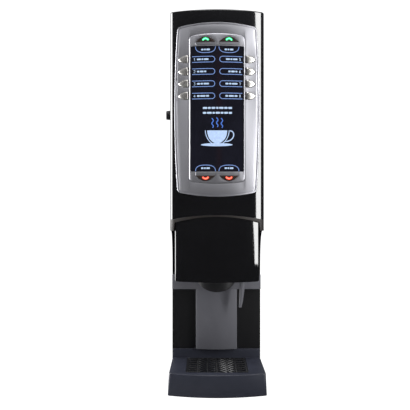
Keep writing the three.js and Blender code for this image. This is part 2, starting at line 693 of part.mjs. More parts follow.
// A wire coil that carries powder to the spout, wound from a short shaft at the motor's end.
function auger() {
  const turns = 6;
  const perTurn = 8;
  const front = CANISTER.front - 22;
  const pitch = 33;
  const points = [[0, front - 4, AUGER_HEIGHT]];
  for (let step = 0; step <= turns * perTurn; step += 1) {
    const angle = (2 * PI * step) / perTurn;
    const y = front + (step / perTurn) * (pitch - 2);
    points.push([9 * Math.cos(angle), y, AUGER_HEIGHT + 9 * Math.sin(angle)]);
  }
  points.push([0, CANISTER.back - 8, AUGER_HEIGHT]);
  const coil = tube(pathOf(points), 2.2, turns * perTurn + 8, 5);
  const shaft = rod("y", CANISTER.back - 12, CANISTER.back + 2.2, [0, AUGER_HEIGHT], 3.6, 3.6, 10);
  return union(shaft, coil);
}

function augerDriveUnit() {
  const plateBack = 130;
  const pieces = [box(-90, 90, plateBack - 2, plateBack, SHELF + 3 + GAP, 600)];
  for (const [, x] of CANISTERS) {
    pieces.push(box(x - 20, x + 20, plateBack - 1, plateBack + 24, AUGER_HEIGHT - 12, AUGER_HEIGHT + 34));
    pieces.push(rod("y", plateBack + 23, plateBack + 48, [x, AUGER_HEIGHT + 14], 15));
    pieces.push(rod("y", CANISTER.back + 2.6, plateBack, [x, AUGER_HEIGHT], 4, 4, 12));
  }
  return union(...pieces);
}

// An oblong funnel over a round chamber in which the impeller spins.
function mixingBowl() {
  const { y, top, chamber, radius } = BOWL;
  const funnel = (rim, neck, low, high) => {
    const geometry = turned([[0, low], [neck, low], [neck, 452], [rim, 482], [rim, high], [0, high]], 20);
    return solid(geometry.scale(2.1, 0.76, 1).translate(0, y, 0));
  };
  const outer = union(funnel(39.5, 12, 436, top), rod("y", y - radius, y + radius - 2, [0, chamber], radius + 2));
  const inner = union(funnel(37.5, 10.5, 425, top + 5), rod("y", y - radius + 2, y + radius - 4, [0, chamber], radius));
  const outlet = rod("z", 360, chamber, [0, y], 7);
  const outletBore = rod("z", 350, chamber, [0, y], 5);
  const inlet = rod("y", y + 18, y + 36, [-50, 490], 4, 4, 12);
  const shaftHole = rod("y", y, y + 40, [0, chamber], 4, 4, 12);
  return cut(union(outer, outlet, cut(inlet, funnel(38, 11, 430, top + 3))), inner, outletBore, shaftHole);
}

function whipperMotor() {
  const face = BOWL.y + BOWL.radius + 8;
  const plate = box(-38, 38, face, face + 2, 378, SHELF - 13);
  const hanger = box(-38, 38, face, face + 30, SHELF - 14, SHELF - 12);
  const foreCap = rod("y", face - 5, face + 1, [0, BOWL.chamber], 14);
  const can = rod("y", face + 1, face + 58, [0, BOWL.chamber], 22, 22, 18);
  const shaftHole = rod("y", face - 8, face + 20, [0, BOWL.chamber], 3.4, 3.4, 12);
  return cut(union(plate, hanger, foreCap, can), shaftHole);
}

function whipperImpeller() {
  const { y, chamber } = BOWL;
  const pieces = [rod("y", y - 4, y, [0, chamber], 16), rod("y", y - 1, y + 46, [0, chamber], 2.4, 2.4, 12)];
  for (let vane = 0; vane < 6; vane += 1) {
    const blade = new THREE.BoxGeometry(2, 8, 11).translate(0, 0, 9).rotateY((vane * PI) / 3);
    pieces.push(solid(blade.translate(0, y - 7, chamber)));
  }
  return union(...pieces);
}

function boilerTank() {
  const { x, y, radius, low, high } = BOILER;
  const profile = [[0, low], [radius, low + 6], [radius, high - 12], [radius - 12, high - 2], [0, high]];
  const pieces = [solid(turned(profile, 22).translate(x, y, 0))];
  for (let leg = 0; leg < 3; leg += 1) {
    const angle = (2 * PI * leg) / 3 + 0.5;
    const foothold = [x + 38 * Math.cos(angle), y + 38 * Math.sin(angle)];
    pieces.push(rod("z", FOOT_HEIGHT + 2 + GAP, low + 12, foothold, 4, 4, 10));
  }
  pieces.push(box(x - 26, x + 26, y - 30, y - 8, high - 6, high + 16));
  for (const side of [-1, 1]) {
    pieces.push(rod("y", y - 46, y - 29, [x + side * 15, high + 6], 4, 4, 12));
    pieces.push(rod("z", high + 15, high + 40, [x + side * 13, y - 19], 9));
  }
  return union(...pieces);
}

function mixerWaterHose() {
  const [x, y, z] = [BOILER.x - 15, BOILER.y - 47, BOILER.high + 6];
  const inlet = BOWL.y + 37;
  const path = pathOf([[x, y, z], [x, y - 14, z], [-54, 12, 452], [-50, inlet + 22, 490], [-50, inlet, 490]]);
  return tube(path, 3.5, 16, 6);
}

function spoutHose() {
  const [x, y, z] = [BOILER.x + 15, BOILER.y - 47, BOILER.high + 6];
  const path = pathOf([[x, y, z], [x, y - 14, z], [44, 20, 378], [56, -50, 345], [57, -102, 318],
    [56, -115, 282], [56, -115, 247]]);
  return tube(path, 3.5, 22, 6);
}

function controlBoard() {
  const pcb = box(91, 92.6, 20, 170, 240, 400);
  const pieces = [pcb];
  for (let row = 0; row < 4; row += 1) {
    pieces.push(box(76, 91.5, 30, 46, 256 + row * 34, 280 + row * 34));
    pieces.push(box(84, 91.5, 60 + row * 24, 78 + row * 24, 262, 300));
  }
  pieces.push(box(88, 91.5, 70, 110, 330, 370));
  return union(...pieces);
}

function powerSupply() {
  const low = FOOT_HEIGHT + 2 + GAP;
  const body = box(20, 84, -50, 80, low, 76);
  const slots = [];
  for (let row = 0; row < 6; row += 1) slots.push(box(15, 23, -40 + row * 20, -30 + row * 20, 24, 60));
  return cut(body, ...slots);
}

function fanHousing() {
  const { y, z, half, deep } = FAN;
  const block = box(-half, half, y, y + deep, z - half, z + half);
  const hub = rod("y", y + deep - 5, y + deep, [0, z], 13);
  const struts = [0, PI / 3, (2 * PI) / 3].map(
    (angle) => solid(new THREE.BoxGeometry(76, 3, 5).rotateY(angle).translate(0, y + deep - 2, z)));
  return union(cut(block, rod("y", y - 5, y + deep + 5, [0, z], half - 3, half - 3, 24)), hub, ...struts);
}

function fanRotor() {
  const { y, z } = FAN;
  const pieces = [rod("y", y + 3, y + 19, [0, z], 14)];
  for (let blade = 0; blade < 7; blade += 1) {
    const vane = new THREE.BoxGeometry(11, 2, 22).rotateZ(0.6).translate(0, 0, 23.5);
    pieces.push(solid(vane.rotateY((blade * 2 * PI) / 7).translate(0, y + 11, z)));
  }
  return union(...pieces);
}

function mainsInlet() {
  const body = box(45, 75, REAR - 22, REAR + 1, 47, 73);
  const flange = box(38, 82, REAR + GAP, REAR + 3, 44, 76);
  const socket = box(48, 72, REAR - 14, REAR + 5, 51, 69);
  const prongs = [[60, 64], [54, 57], [66, 57]].map(
    ([x, z]) => box(x - 1, x + 1, REAR - 15, REAR - 2, z - 2.5, z + 2.5));
  return union(cut(union(body, flange), socket), ...prongs);
}

function waterInlet() {
  const stem = rod("y", REAR - 40, REAR + 10.3, [-60, 60], 10);
  const collar = rod("y", REAR + GAP, REAR + 3, [-60, 60], 15);
  const valve = box(-74, -46, REAR - 62, REAR - 36, 44, 84);
  return cut(union(stem, collar, valve), rod("y", REAR - 20, REAR + 12, [-60, 60], 7));
}

addPart(works, "canister_shelf", canisterShelf(), "steel");
for (const [powder, x] of CANISTERS) {
  addPart(works, `${powder}_canister`, canister(), "clear", [x, 0, 0]);
  addPart(works, `${powder}_auger`, auger(), "whitePlastic", [x, 0, 0]);
}
addPart(works, "auger_drive_unit", augerDriveUnit(), "darkPlastic");
addPart(works, "mixing_bowl", mixingBowl(), "whitePlastic");
addPart(works, "whipper_motor", whipperMotor(), "steel");
addPart(works, "whipper_impeller", whipperImpeller(), "whitePlastic");
addPart(works, "boiler_tank", boilerTank(), "steel");
addPart(works, "mixer_water_hose", mixerWaterHose(), "hose");
addPart(works, "spout_hose", spoutHose(), "hose");
addPart(works, "control_board", controlBoard(), "board");
addPart(works, "power_supply", powerSupply(), "steel");
addPart(works, "fan_housing", fanHousing(), "darkPlastic");
addPart(works, "fan_rotor", fanRotor(), "darkPlastic");
addPart(works, "mains_inlet", mainsInlet(), "darkPlastic");
addPart(works, "water_inlet", waterInlet(), "brass");

export default group;
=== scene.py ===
import math

import bpy
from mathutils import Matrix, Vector


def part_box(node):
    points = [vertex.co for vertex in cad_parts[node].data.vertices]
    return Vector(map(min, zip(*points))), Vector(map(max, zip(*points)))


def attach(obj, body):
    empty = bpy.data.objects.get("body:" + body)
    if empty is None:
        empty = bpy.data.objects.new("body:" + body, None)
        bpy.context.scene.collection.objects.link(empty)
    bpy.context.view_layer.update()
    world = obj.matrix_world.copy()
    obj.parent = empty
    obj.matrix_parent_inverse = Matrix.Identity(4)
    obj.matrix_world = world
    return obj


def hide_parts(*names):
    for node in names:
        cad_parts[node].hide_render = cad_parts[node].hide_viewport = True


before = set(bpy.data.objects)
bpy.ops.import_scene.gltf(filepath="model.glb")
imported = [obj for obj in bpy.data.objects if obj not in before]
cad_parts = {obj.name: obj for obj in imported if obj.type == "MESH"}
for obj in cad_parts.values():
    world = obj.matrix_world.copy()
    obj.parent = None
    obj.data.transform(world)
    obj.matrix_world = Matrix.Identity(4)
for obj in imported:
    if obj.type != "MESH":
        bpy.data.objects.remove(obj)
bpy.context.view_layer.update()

bl_info = {
    "name": "Hot drinks vending machine",
    "version": (1, 0, 0),
    "blender": (4, 5, 0),
    "location": "View3D > Sidebar > Drinks Machine",
    "description": "Builds the visual model of a slim table-top hot drinks vending machine",
    "category": "Add Mesh",
}

MM = 0.001

# The door's front is an arc about the Z axis; outlines are drawn flat and laid on it.
BOW = 0.195
GAP = 0.0003
FRONT_SHAPES = {
    "door": {"half": 0.098, "radius": BOW, "corner": 0.014, "back": -0.136},
    "mask": {"half": 0.0877, "radius": 0.1925, "corner": 0.005, "back": -0.142},
}
ARCH = {"end": 0.3546, "middle": 0.3656, "under_end": 0.349, "under_middle": 0.362, "lug": 0.332}
SIDE_ROWS = (0.685, 0.660, 0.635, 0.610)
SIDE_X = 0.0695
END_X = 0.024
FRAME_DROP = 0.0008
WINDOW = {"half": 0.0547, "low": 0.4548, "high": 0.7107}


# ------------------------------------------------------------------ shader building

class Wire:
    """A shader socket whose operators add the Math nodes they stand for."""

    def __init__(self, finish, socket):
        self.finish = finish
        self.socket = socket

    def math(self, operation, first, second=0.0):
        return self.finish.node("ShaderNodeMath", {"operation": operation}, {0: first, 1: second})

    def __add__(self, other):
        return self.math("ADD", self, other)

    def __radd__(self, other):
        return self.math("ADD", other, self)

    def __sub__(self, other):
        return self.math("SUBTRACT", self, other)

    def __rsub__(self, other):
        return self.math("SUBTRACT", other, self)

    def __mul__(self, other):
        return self.math("MULTIPLY", self, other)

    def __rmul__(self, other):
        return self.math("MULTIPLY", other, self)

    def __gt__(self, other):
        return self.math("GREATER_THAN", self, other)

    def __lt__(self, other):
        return self.math("LESS_THAN", self, other)

    def part(self, name):
        return Wire(self.finish, self.socket.node.outputs[name])

    def wave(self):
        return self.math("SINE", self)

    def size(self):
        return self.math("ABSOLUTE", self)

    def spread(self, low, high, to_low=0.0, to_high=1.0):
        """This value's stretch from low to high, moved to another stretch and held there."""
        settings = {"clamp": True}
        ends = {"From Min": low, "From Max": high, "To Min": to_low, "To Max": to_high}
        return self.finish.node("ShaderNodeMapRange", settings, {"Value": self, **ends})


class Finish:
    """One procedural material, with its main shader's constants set on the sockets themselves."""

    def __init__(self, name, **constants):
        self.material = bpy.data.materials.new(f"finish_{name}")
        self.material.use_nodes = True
        self.tree = self.material.node_tree
        self.shader = self.tree.nodes["Principled BSDF"]
        for socket, value in constants.items():
            self.feed(self.shader.inputs[socket.replace("_", " ").title().replace("Ior", "IOR")], value)
        self.place = self.node("ShaderNodeTexCoord", {}, {}, "Object")

    def feed(self, socket, value):
        if isinstance(value, Wire):
            self.tree.links.new(value.socket, socket)
        elif isinstance(value, tuple) and len(value) == 3 and len(socket.default_value) == 4:
            socket.default_value = (*value, 1.0)
        else:
            socket.default_value = value

    def node(self, kind, settings, inputs, output=0):
        node = self.tree.nodes.new(kind)
        for name, value in settings.items():
            if name == "stops":
                self.set_stops(node.color_ramp, value)
            else:
                setattr(node, name, value)
        for name, value in inputs.items():
            self.feed(node.inputs[name], value)
        return Wire(self, node.outputs[output])

    @staticmethod
    def set_stops(ramp, stops):
        while len(ramp.elements) < len(stops):
            ramp.elements.new(0.5)
        for element, (position, colour) in zip(ramp.elements, stops):
            element.position = position
            element.color = (*colour, 1.0)

    def noise(self, scale, detail=3.0, roughness=0.5, at=None):
        inputs = {"Vector": at or self.place, "Scale": scale, "Detail": detail, "Roughness": roughness}
        return self.node("ShaderNodeTexNoise", {}, inputs, "Fac")

    def stretched(self, scales, at=None):
        return self.node("ShaderNodeMapping", {}, {"Vector": at or self.place, "Scale": Vector(scales)})

    def cells(self, scale, output="Distance", at=None):
        return self.node("ShaderNodeTexVoronoi", {}, {"Vector": at or self.place, "Scale": scale}, output)

    def axes(self):
        split = self.node("ShaderNodeSeparateXYZ", {}, {"Vector": self.place})
        return split.part("X"), split.part("Y"), split.part("Z")

    def ramp(self, value, *stops):
        return self.node("ShaderNodeValToRGB", {"stops": stops}, {"Fac": value})

    def mix(self, amount, first, second):
        """Two colours mixed; a Mix node's colour sockets are its inputs 6 and 7 and its output 2."""
        return self.node("ShaderNodeMix", {"data_type": "RGBA"}, {"Factor": amount, 6: first, 7: second}, 2)

    def bump(self, height, depth, strength=1.0):
        inputs = {"Height": height, "Distance": depth, "Strength": strength}
        self.set(normal=self.node("ShaderNodeBump", {}, inputs))

    def set(self, **links):
        for socket, value in links.items():
            self.feed(self.shader.inputs[socket.replace("_", " ").title()], value)
        return self.material


def tone(colour, factor):
    return tuple(min(1.0, channel * factor) for channel in colour)


# ------------------------------------------------------------------ finishes

def gloss_black(settings):
    finish = Finish("gloss_black", coat_weight=0.6, coat_roughness=0.03, specular_ior_level=0.5)
    cloud = finish.noise(9.0, 4.0)
    specks = finish.cells(900.0) < 0.06
    dark, pale = tone(settings.black, 0.8), tone(settings.black, 1.3)
    finish.set(base_color=finish.ramp(cloud, (0.3, dark), (0.7, pale)))
    finish.set(roughness=cloud.spread(0.3, 0.7, 0.05, 0.1) + specks * 0.08)
    finish.bump(finish.noise(120.0, 2.0), 0.00002, 0.25)
    return finish.material


def satin_moulding(name, colour, rough=0.46, depth=0.00006):
    """Moulded plastic with a fine spark-eroded grain and faint flow marks."""
    finish = Finish(name, specular_ior_level=0.45)
    grain = finish.noise(1400.0, 2.0)
    flow = finish.noise(7.0, 3.0, at=finish.stretched((1.0, 1.0, 0.25)))
    finish.set(base_color=finish.ramp(flow, (0.3, tone(colour, 0.88)), (0.7, tone(colour, 1.12))))
    finish.set(roughness=flow.spread(0.3, 0.7, rough - 0.05, rough + 0.05) + (grain - 0.5) * 0.12)
    finish.bump(grain, depth, 0.6)
    return finish.material


def powder_coat(name, colour):
    """Painted sheet with the soft orange-peel of a baked coat and rubbed lower edges."""
    finish = Finish(name, specular_ior_level=0.5)
    peel = finish.noise(420.0, 3.0)
    cloud = finish.noise(5.0, 4.0)
    _, _, height = finish.axes()
    rubbed = (finish.noise(60.0, 4.0) - height * 6.0) > 0.42
    coat = finish.ramp(cloud, (0.3, tone(colour, 0.85)), (0.7, tone(colour, 1.25)))
    finish.set(base_color=finish.mix(rubbed * 0.35, coat, tone(colour, 3.0)))
    finish.set(roughness=cloud.spread(0.3, 0.7, 0.26, 0.36) + (peel - 0.5) * 0.1)
    finish.bump(peel, 0.00008, 0.5)
    return finish.material


def metallic_paint(name, colour, rough=0.3, flake=0.16):
    """Silver lacquer: flakes differ in brightness under a clear coat."""
    finish = Finish(name, metallic=0.85, coat_weight=0.35, coat_roughness=0.12)
    flakes = finish.cells(2600.0, "Color")
    shine = finish.node("ShaderNodeSeparateColor", {}, {"Color": flakes})
    cloud = finish.noise(6.0, 3.0)
    dull, bright = tone(colour, 1.0 - flake), tone(colour, 1.0 + flake)
    finish.set(base_color=finish.mix(shine * 0.7 + cloud * 0.3, dull, bright))
    finish.set(roughness=cloud.spread(0.3, 0.7, rough - 0.04, rough + 0.04) + (shine - 0.5) * 0.1)
    finish.bump(finish.noise(700.0, 2.0), 0.00003, 0.4)
    return finish.material


def display_glass(settings):
    finish = Finish("display_glass", specular_ior_level=0.5, emission_strength=1.0)
    cloud = finish.noise(30.0, 2.0)
    across, _, height = finish.axes()
    # Painted reflection: a faint reddish vertical band a little right of the glass's middle is mixed into its
    # blue-black glow.
    middle = ((across - 0.0035).size()).spread(0.0, 0.009, 1.0, 0.0)
    glow = finish.noise(14.0, 2.0).spread(0.35, 0.65, 0.5, 1.0)
    finish.set(base_color=finish.ramp(cloud, (0.3, (0.003, 0.003, 0.005)), (0.7, (0.006, 0.006, 0.010))))
    finish.set(emission_color=finish.mix(middle * 0.55, (0.0040, 0.0042, 0.0072), (0.0105, 0.0038, 0.0046)))
    finish.set(roughness=cloud.spread(0.3, 0.7, 0.04, 0.08) + glow * 0.01)
    return finish.material


def lit_ink(name, colour, strength):
    """Lit graphics, a little brighter along the middle of the strokes' cells."""
    finish = Finish(name, base_color=tone(colour, 0.3), roughness=0.4, emission_strength=strength)
    flicker = finish.noise(240.0, 2.0).spread(0.3, 0.7, 0.0, 1.0)
    finish.set(emission_color=finish.mix(flicker, tone(colour, 0.8), tone(colour, 1.1)))
    return finish.material


def brushed_metal(name, colour, rough=0.3, along=(3.0, 900.0, 900.0)):
    finish = Finish(name, metallic=1.0)
    grain = finish.noise(1.0, 4.0, 0.6, finish.stretched(along))
    smears = finish.noise(12.0, 3.0)
    finish.set(base_color=finish.ramp(grain, (0.3, tone(colour, 0.85)), (0.7, tone(colour, 1.1))))
    finish.set(roughness=grain.spread(0.25, 0.75, rough - 0.07, rough + 0.08) + smears * 0.05)
    finish.bump(grain, 0.00002, 0.5)
    return finish.material


def pearl_key(settings):
    """Satin-chromed keys: bright metal with a soft warm bloom and handling marks."""
    finish = Finish("pearl_key", metallic=0.9, coat_weight=0.4, coat_roughness=0.1)
    bloom = finish.noise(160.0, 3.0)
    wipes = finish.noise(60.0, 4.0, at=finish.stretched((4.0, 4.0, 1.0)))
    finish.set(base_color=finish.ramp(bloom, (0.3, tone(settings.pearl, 0.93)), (0.7, settings.pearl[:])))
    finish.set(roughness=wipes.spread(0.3, 0.7, 0.24, 0.34))
    finish.bump(bloom, 0.00002, 0.3)
    return finish.material


def moulded_rubber(name, colour):
    finish = Finish(name, specular_ior_level=0.3)
    grain = finish.noise(500.0, 3.0)
    finish.set(base_color=finish.ramp(grain, (0.3, tone(colour, 0.8)), (0.7, tone(colour, 1.3))))
    finish.set(roughness=grain.spread(0.3, 0.7, 0.7, 0.9))
    finish.bump(grain, 0.0001, 0.5)
    return finish.material


def lens(name, colour, glow):
    """A smoked lamp lens with a little light of its own colour inside."""
    finish = Finish(name, coat_weight=0.5, coat_roughness=0.05, emission_strength=glow)
    haze = finish.noise(300.0, 2.0)
    finish.set(base_color=finish.ramp(haze, (0.3, tone(colour, 0.8)), (0.7, tone(colour, 1.2))))
    finish.set(emission_color=finish.ramp(haze, (0.2, tone(colour, 0.5)), (0.8, colour)))
    finish.set(roughness=haze.spread(0.3, 0.7, 0.12, 0.22))
    return finish.material


def canister_plastic(settings):
    """Cloudy food-grade plastic, tinted by powder dust towards the bottom."""
    finish = Finish("canister_plastic", subsurface_weight=0.1, specular_ior_level=0.5)
    finish.feed(finish.shader.inputs["Subsurface Radius"], (0.01, 0.008, 0.006))
    cloud = finish.noise(18.0, 4.0)
    _, _, height = finish.axes()
    dust = height.spread(0.56, 0.72, 1.0, 0.0) * finish.noise(90.0, 5.0).spread(0.4, 0.65)
    clean = finish.ramp(cloud, (0.3, tone(settings.canister, 0.94)), (0.7, settings.canister[:]))
    finish.set(base_color=finish.mix(dust * 0.5, clean, (0.30, 0.20, 0.12)))
    finish.set(roughness=cloud.spread(0.3, 0.7, 0.28, 0.38) + dust * 0.2)
    finish.bump(finish.noise(260.0, 2.0), 0.00005, 0.3)
    return finish.material


def circuit_board(settings):
    """Green lacquered board with fine copper tracks and pads."""
    finish = Finish("circuit_board", specular_ior_level=0.5)
    across, depth, height = finish.axes()
    tracks = ((across * 900.0 + depth * 900.0).wave() > 0.55) * (finish.noise(45.0, 1.0) > 0.5)
    pads = finish.cells(260.0) < 0.16
    lacquer = finish.ramp(finish.noise(20.0), (0.3, (0.006, 0.07, 0.03)), (0.7, (0.010, 0.11, 0.045)))
    tracked = finish.mix(tracks * 0.6, lacquer, (0.03, 0.20, 0.08))
    finish.set(base_color=finish.mix(pads, tracked, (0.75, 0.72, 0.62)), metallic=pads * 0.9)
    finish.set(roughness=0.38 - pads * 0.1 + (height * 900.0).wave() * 0.03)
    finish.bump(tracks * 0.6 + pads, 0.0001, 0.5)
    return finish.material


def tray_plastic(settings):
    """Dark grey moulding whose blue tint is a painted reflection of blue light, with wipe marks and fine
    scratches from cups.
    """
    finish = Finish("tray_plastic", specular_ior_level=0.55)
    grain = finish.noise(1100.0, 2.0)
    wipes = finish.noise(8.0, 4.0, at=finish.stretched((1.0, 3.0, 1.0)))
    scratches = finish.cells(70.0, at=finish.stretched((1.0, 7.0, 1.0))) < 0.012
    base = finish.ramp(wipes, (0.3, tone(settings.tray, 0.85)), (0.7, tone(settings.tray, 1.15)))
    finish.set(base_color=finish.mix(scratches * 0.4, base, tone(settings.tray, 3.0)))
    finish.set(roughness=wipes.spread(0.3, 0.7, 0.30, 0.42) + (grain - 0.5) * 0.08)
    finish.bump(grain, 0.00005, 0.5)
    return finish.material


def studio_floor(settings):
    finish = Finish("studio_floor", roughness=0.6, specular_ior_level=0.2)
    cloud = finish.noise(2.0, 3.0)
    finish.set(base_color=finish.ramp(cloud, (0.3, tone(settings.floor, 0.985)), (0.7, settings.floor[:])))
    return finish.material


# ------------------------------------------------------------------ outlines

def arc(x, y, radius, start, end, steps):
    turns = [start + (end - start) * step / steps for step in range(steps + 1)]
    return [(x + radius * math.cos(turn), y + radius * math.sin(turn)) for turn in turns]


def bend(*controls, steps=10):
    """Points of a Bezier curve after its first, with any number of control points."""
    points = []
    for step in range(1, steps + 1):
        row = [Vector(control) for control in controls]
        while len(row) > 1:
            row = [a.lerp(b, step / steps) for a, b in zip(row, row[1:])]
        points.append(tuple(row[0]))
    return points


def rounded(x0, x1, y0, y1, corner, steps=5):
    corners = ((x1, y0, -0.5), (x1, y1, 0.0), (x0, y1, 0.5), (x0, y0, 1.0))
    points = []
    for x, y, turn in corners:
        inner_x = x + corner * (1 if x == x0 else -1)
        inner_y = y + corner * (1 if y == y0 else -1)
        points += arc(inner_x, inner_y, corner, turn * math.pi, (turn + 0.5) * math.pi, steps)
    return points


def bowed_plan(half, radius, corner, back, fine=90):
    corner_x = half - corner
    corner_y = -math.sqrt((radius - corner) ** 2 - corner_x ** 2)
    turn = math.atan2(corner_y, corner_x)
    left = arc(-corner_x, corner_y, corner, math.pi, math.pi - turn, 14)
    front = arc(0.0, 0.0, radius, math.pi - turn, 2 * math.pi + turn, fine)
    right = arc(corner_x, corner_y, corner, turn, 0.0, 14)
    return [(-half, back)] + left + front[1:] + right[1:] + [(half, back)]


def barrel(end_half, mid_half, low, high, low_arch, high_arch, corner):
    middle = (low + high) / 2
    swell = 2 * mid_half - end_half
    edge = end_half + 0.0005
    half_way = end_half - corner
    side = bend((edge, low + corner), (swell, middle), (edge, high - corner), steps=24)
    side.insert(0, (edge, low + corner))
    turn = bend((half_way, low), (end_half, low + MM), (edge, low + corner), steps=8)[:-1]
    top_turn = bend((edge, high - corner), (end_half, high - MM), (half_way, high), steps=8)
    right = [(half_way, low)] + turn + side + top_turn
    over = bend((half_way, high), (0.0, high + 2 * high_arch), (-half_way, high), steps=30)[:-1]
    left = [(-x, y) for x, y in reversed(right)]
    under = bend((-half_way, low), (0.0, low - 2 * low_arch), (half_way, low), steps=30)[:-1]
    return right + over + left + under


def bezel_outline(grow=0.0):
    return barrel(0.0573 + grow, 0.0573 + grow, 0.433 - grow, 0.734 + grow, 0.003, 0.003, 0.010)


def teardrop(x, z, facing, grow=0.0):
    """A drop-shaped key's outline; its point faces away from the display."""
    half = [(-9.5, 0.0), (-9.5, 5.5)]
    half += bend((-9.5, 5.5), (-9.5, 8.2), (-6.0, 8.2), steps=5)
    half += bend((-6.0, 8.2), (1.0, 8.2), (6.5, 5.0), (10.0, 1.2), steps=14)
    half += bend((10.0, 1.2), (10.5, 0.6), (10.55, 0.0), steps=3)
    other = [(dx, -dz) for dx, dz in reversed(half[1:-1])]
    size = MM * (1.0 + grow / 9.0)
    return [(x + facing * dx * size, z + dz * size) for dx, dz in half + other]


def half_moon(x, z, facing, grow=0.0):
    half = 0.0205 + grow
    foot, shoulder, crown = z - facing * grow, z + facing * 0.006, z + facing * (0.030 + 2 * grow)
    arch = bend((x + half, shoulder), (x, crown), (x - half, shoulder), steps=24)
    return [(x - half, foot), (x + half, foot), (x + half, shoulder)] + arch


def arch_top(x):
    return ARCH["end"] + (ARCH["middle"] - ARCH["end"]) * (1.0 - (x / 0.1) ** 2)


def arch_under(x):
    across = abs(x) / 0.088
    if across <= 1.0:
        return ARCH["under_end"] + (ARCH["under_middle"] - ARCH["under_end"]) * (1.0 - across ** 2)
    fall = min(1.0, (abs(x) - 0.088) / 0.002)
    return ARCH["under_end"] + (ARCH["lug"] - ARCH["under_end"]) * math.sin(fall * math.pi / 2)


def stroke(points, width):
    """The outline of a line of this width drawn through the points."""
    left, right = [], []
    for index, point in enumerate(points):
        before, after = points[max(index - 1, 0)], points[min(index + 1, len(points) - 1)]
        along = Vector((after[0] - before[0], after[1] - before[1])).normalized()
        side = Vector((-along.y, along.x)) * width / 2
        left.append((point[0] + side.x, point[1] + side.y))
        right.append((point[0] - side.x, point[1] - side.y))
    return right + left[::-1]


# ------------------------------------------------------------------ modelling tools

def start():
    if bpy.context.object and bpy.context.object.mode != "OBJECT":
        bpy.ops.object.mode_set(mode="OBJECT")
    bpy.ops.object.select_all(action="DESELECT")


class Editing:
    """Edit mode on one piece, with vertices, edges or faces as what is selected."""

    def __init__(self, piece, kind="VERT"):
        self.piece, self.kind = piece, kind

    def __enter__(self):
        make_active(self.piece)
        kinds = ("VERT", "EDGE", "FACE")
        bpy.context.tool_settings.mesh_select_mode = tuple(self.kind == kind for kind in kinds)
        bpy.ops.object.mode_set(mode="EDIT")

    def __exit__(self, *_):
        bpy.ops.object.mode_set(mode="OBJECT")


def make_active(piece):
    start()
    piece.select_set(True)
    bpy.context.view_layer.objects.active = piece


def choose(piece, items, test):
    """Selects only the vertices, edges or polygons that pass a test."""
    for group in (piece.data.vertices, piece.data.edges, piece.data.polygons):
        group.foreach_set("select", [False] * len(group))
    for item in getattr(piece.data, items):
        item.select = bool(test(item))


def apply_place(piece, name):
    piece.name = name
    piece.data.name = name
    make_active(piece)
    bpy.ops.object.transform_apply(location=True, rotation=True, scale=True)
    return piece


def outline_face(name, points, place, fill="NGON"):
    """A flat face: a circle primitive whose corners are moved to the outline's points."""
    start()
    bpy.ops.mesh.primitive_circle_add(vertices=len(points), fill_type=fill)
    piece = apply_place(bpy.context.object, name)
    for vertex, point in zip(piece.data.vertices, points):
        vertex.co = place(point)
    return piece


def upright(depth):
    """Places an outline's point on the flat front, this far out."""
    return lambda point: (point[0], -depth, point[1])


def level(height):
    return lambda point: (point[0], point[1], height)


def pull(piece, move):
    with Editing(piece):
        bpy.ops.mesh.select_all(action="SELECT")
        bpy.ops.mesh.extrude_region_move(TRANSFORM_OT_translate={"value": move})
        bpy.ops.mesh.select_all(action="SELECT")
        bpy.ops.mesh.normals_make_consistent(inside=False)
    return piece


def slab(name, points, inner, outer):
    """A flat plate with this front outline, from an inner to an outer depth."""
    return pull(outline_face(name, points, upright(inner)), (0, inner - outer, 0))


def prism(name, points, low, high):
    """A solid with this plan, from a low to a high level."""
    return pull(outline_face(name, points, level(low)), (0, 0, high - low))


def block(name, low, high, edge=0.0, segments=3):
    """A box between two corners with its edges rounded."""
    low, high = Vector(low), Vector(high)
    start()
    bpy.ops.mesh.primitive_cube_add(size=1.0, location=(low + high) / 2, scale=high - low)
    piece = apply_place(bpy.context.object, name)
    return bevel(piece, edge, segments) if edge else piece


def rod(name, axis, from_end, to_end, at, radius, end_radius=None, edge=0.0, sides=40):
    """A cylinder or cone along an axis, with its rims rounded."""
    turns = {"x": (0.0, math.pi / 2, 0.0), "y": (-math.pi / 2, 0.0, 0.0), "z": (0.0, 0.0, 0.0)}
    middle = (from_end + to_end) / 2
    places = {"x": (middle, *at), "y": (at[0], middle, at[1]), "z": (*at, middle)}
    start()
    bpy.ops.mesh.primitive_cone_add(vertices=sides, radius1=radius, depth=to_end - from_end,
                                    radius2=radius if end_radius is None else end_radius,
                                    location=places[axis], rotation=turns[axis])
    piece = apply_place(bpy.context.object, name)
    return bevel(piece, edge, 3, 50) if edge else piece


def modify(piece, kind, **settings):
    make_active(piece)
    modifier = piece.modifiers.new(kind.title(), kind)
    for name, value in settings.items():
        setattr(modifier, name, value)
    bpy.ops.object.modifier_apply(modifier=modifier.name)
    return piece


def bevel(piece, width, segments=2, angle=35.0):
    return modify(piece, "BEVEL", width=width, segments=segments, limit_method="ANGLE",
                  angle_limit=math.radians(angle))


def cut(piece, *tools):
    for tool in tools:
        modify(piece, "BOOLEAN", operation="DIFFERENCE", object=tool, solver="EXACT")
        bpy.data.objects.remove(tool)
    return piece


def keep(piece, tool):
    """Keeps only what of a piece lies inside a tool."""
    modify(piece, "BOOLEAN", operation="INTERSECT", object=tool, solver="EXACT")
    bpy.data.objects.remove(tool)
    return piece


def fuse(piece, *others):
    for other in others:
        modify(piece, "BOOLEAN", operation="UNION", object=other, solver="EXACT")
        bpy.data.objects.remove(other)
    return piece


def join(name, pieces):
    start()
    for piece in pieces:
        piece.select_set(True)
    bpy.context.view_layer.objects.active = pieces[0]
    if len(pieces) > 1:
        bpy.ops.object.join()
    pieces[0].name = name
    return pieces[0]


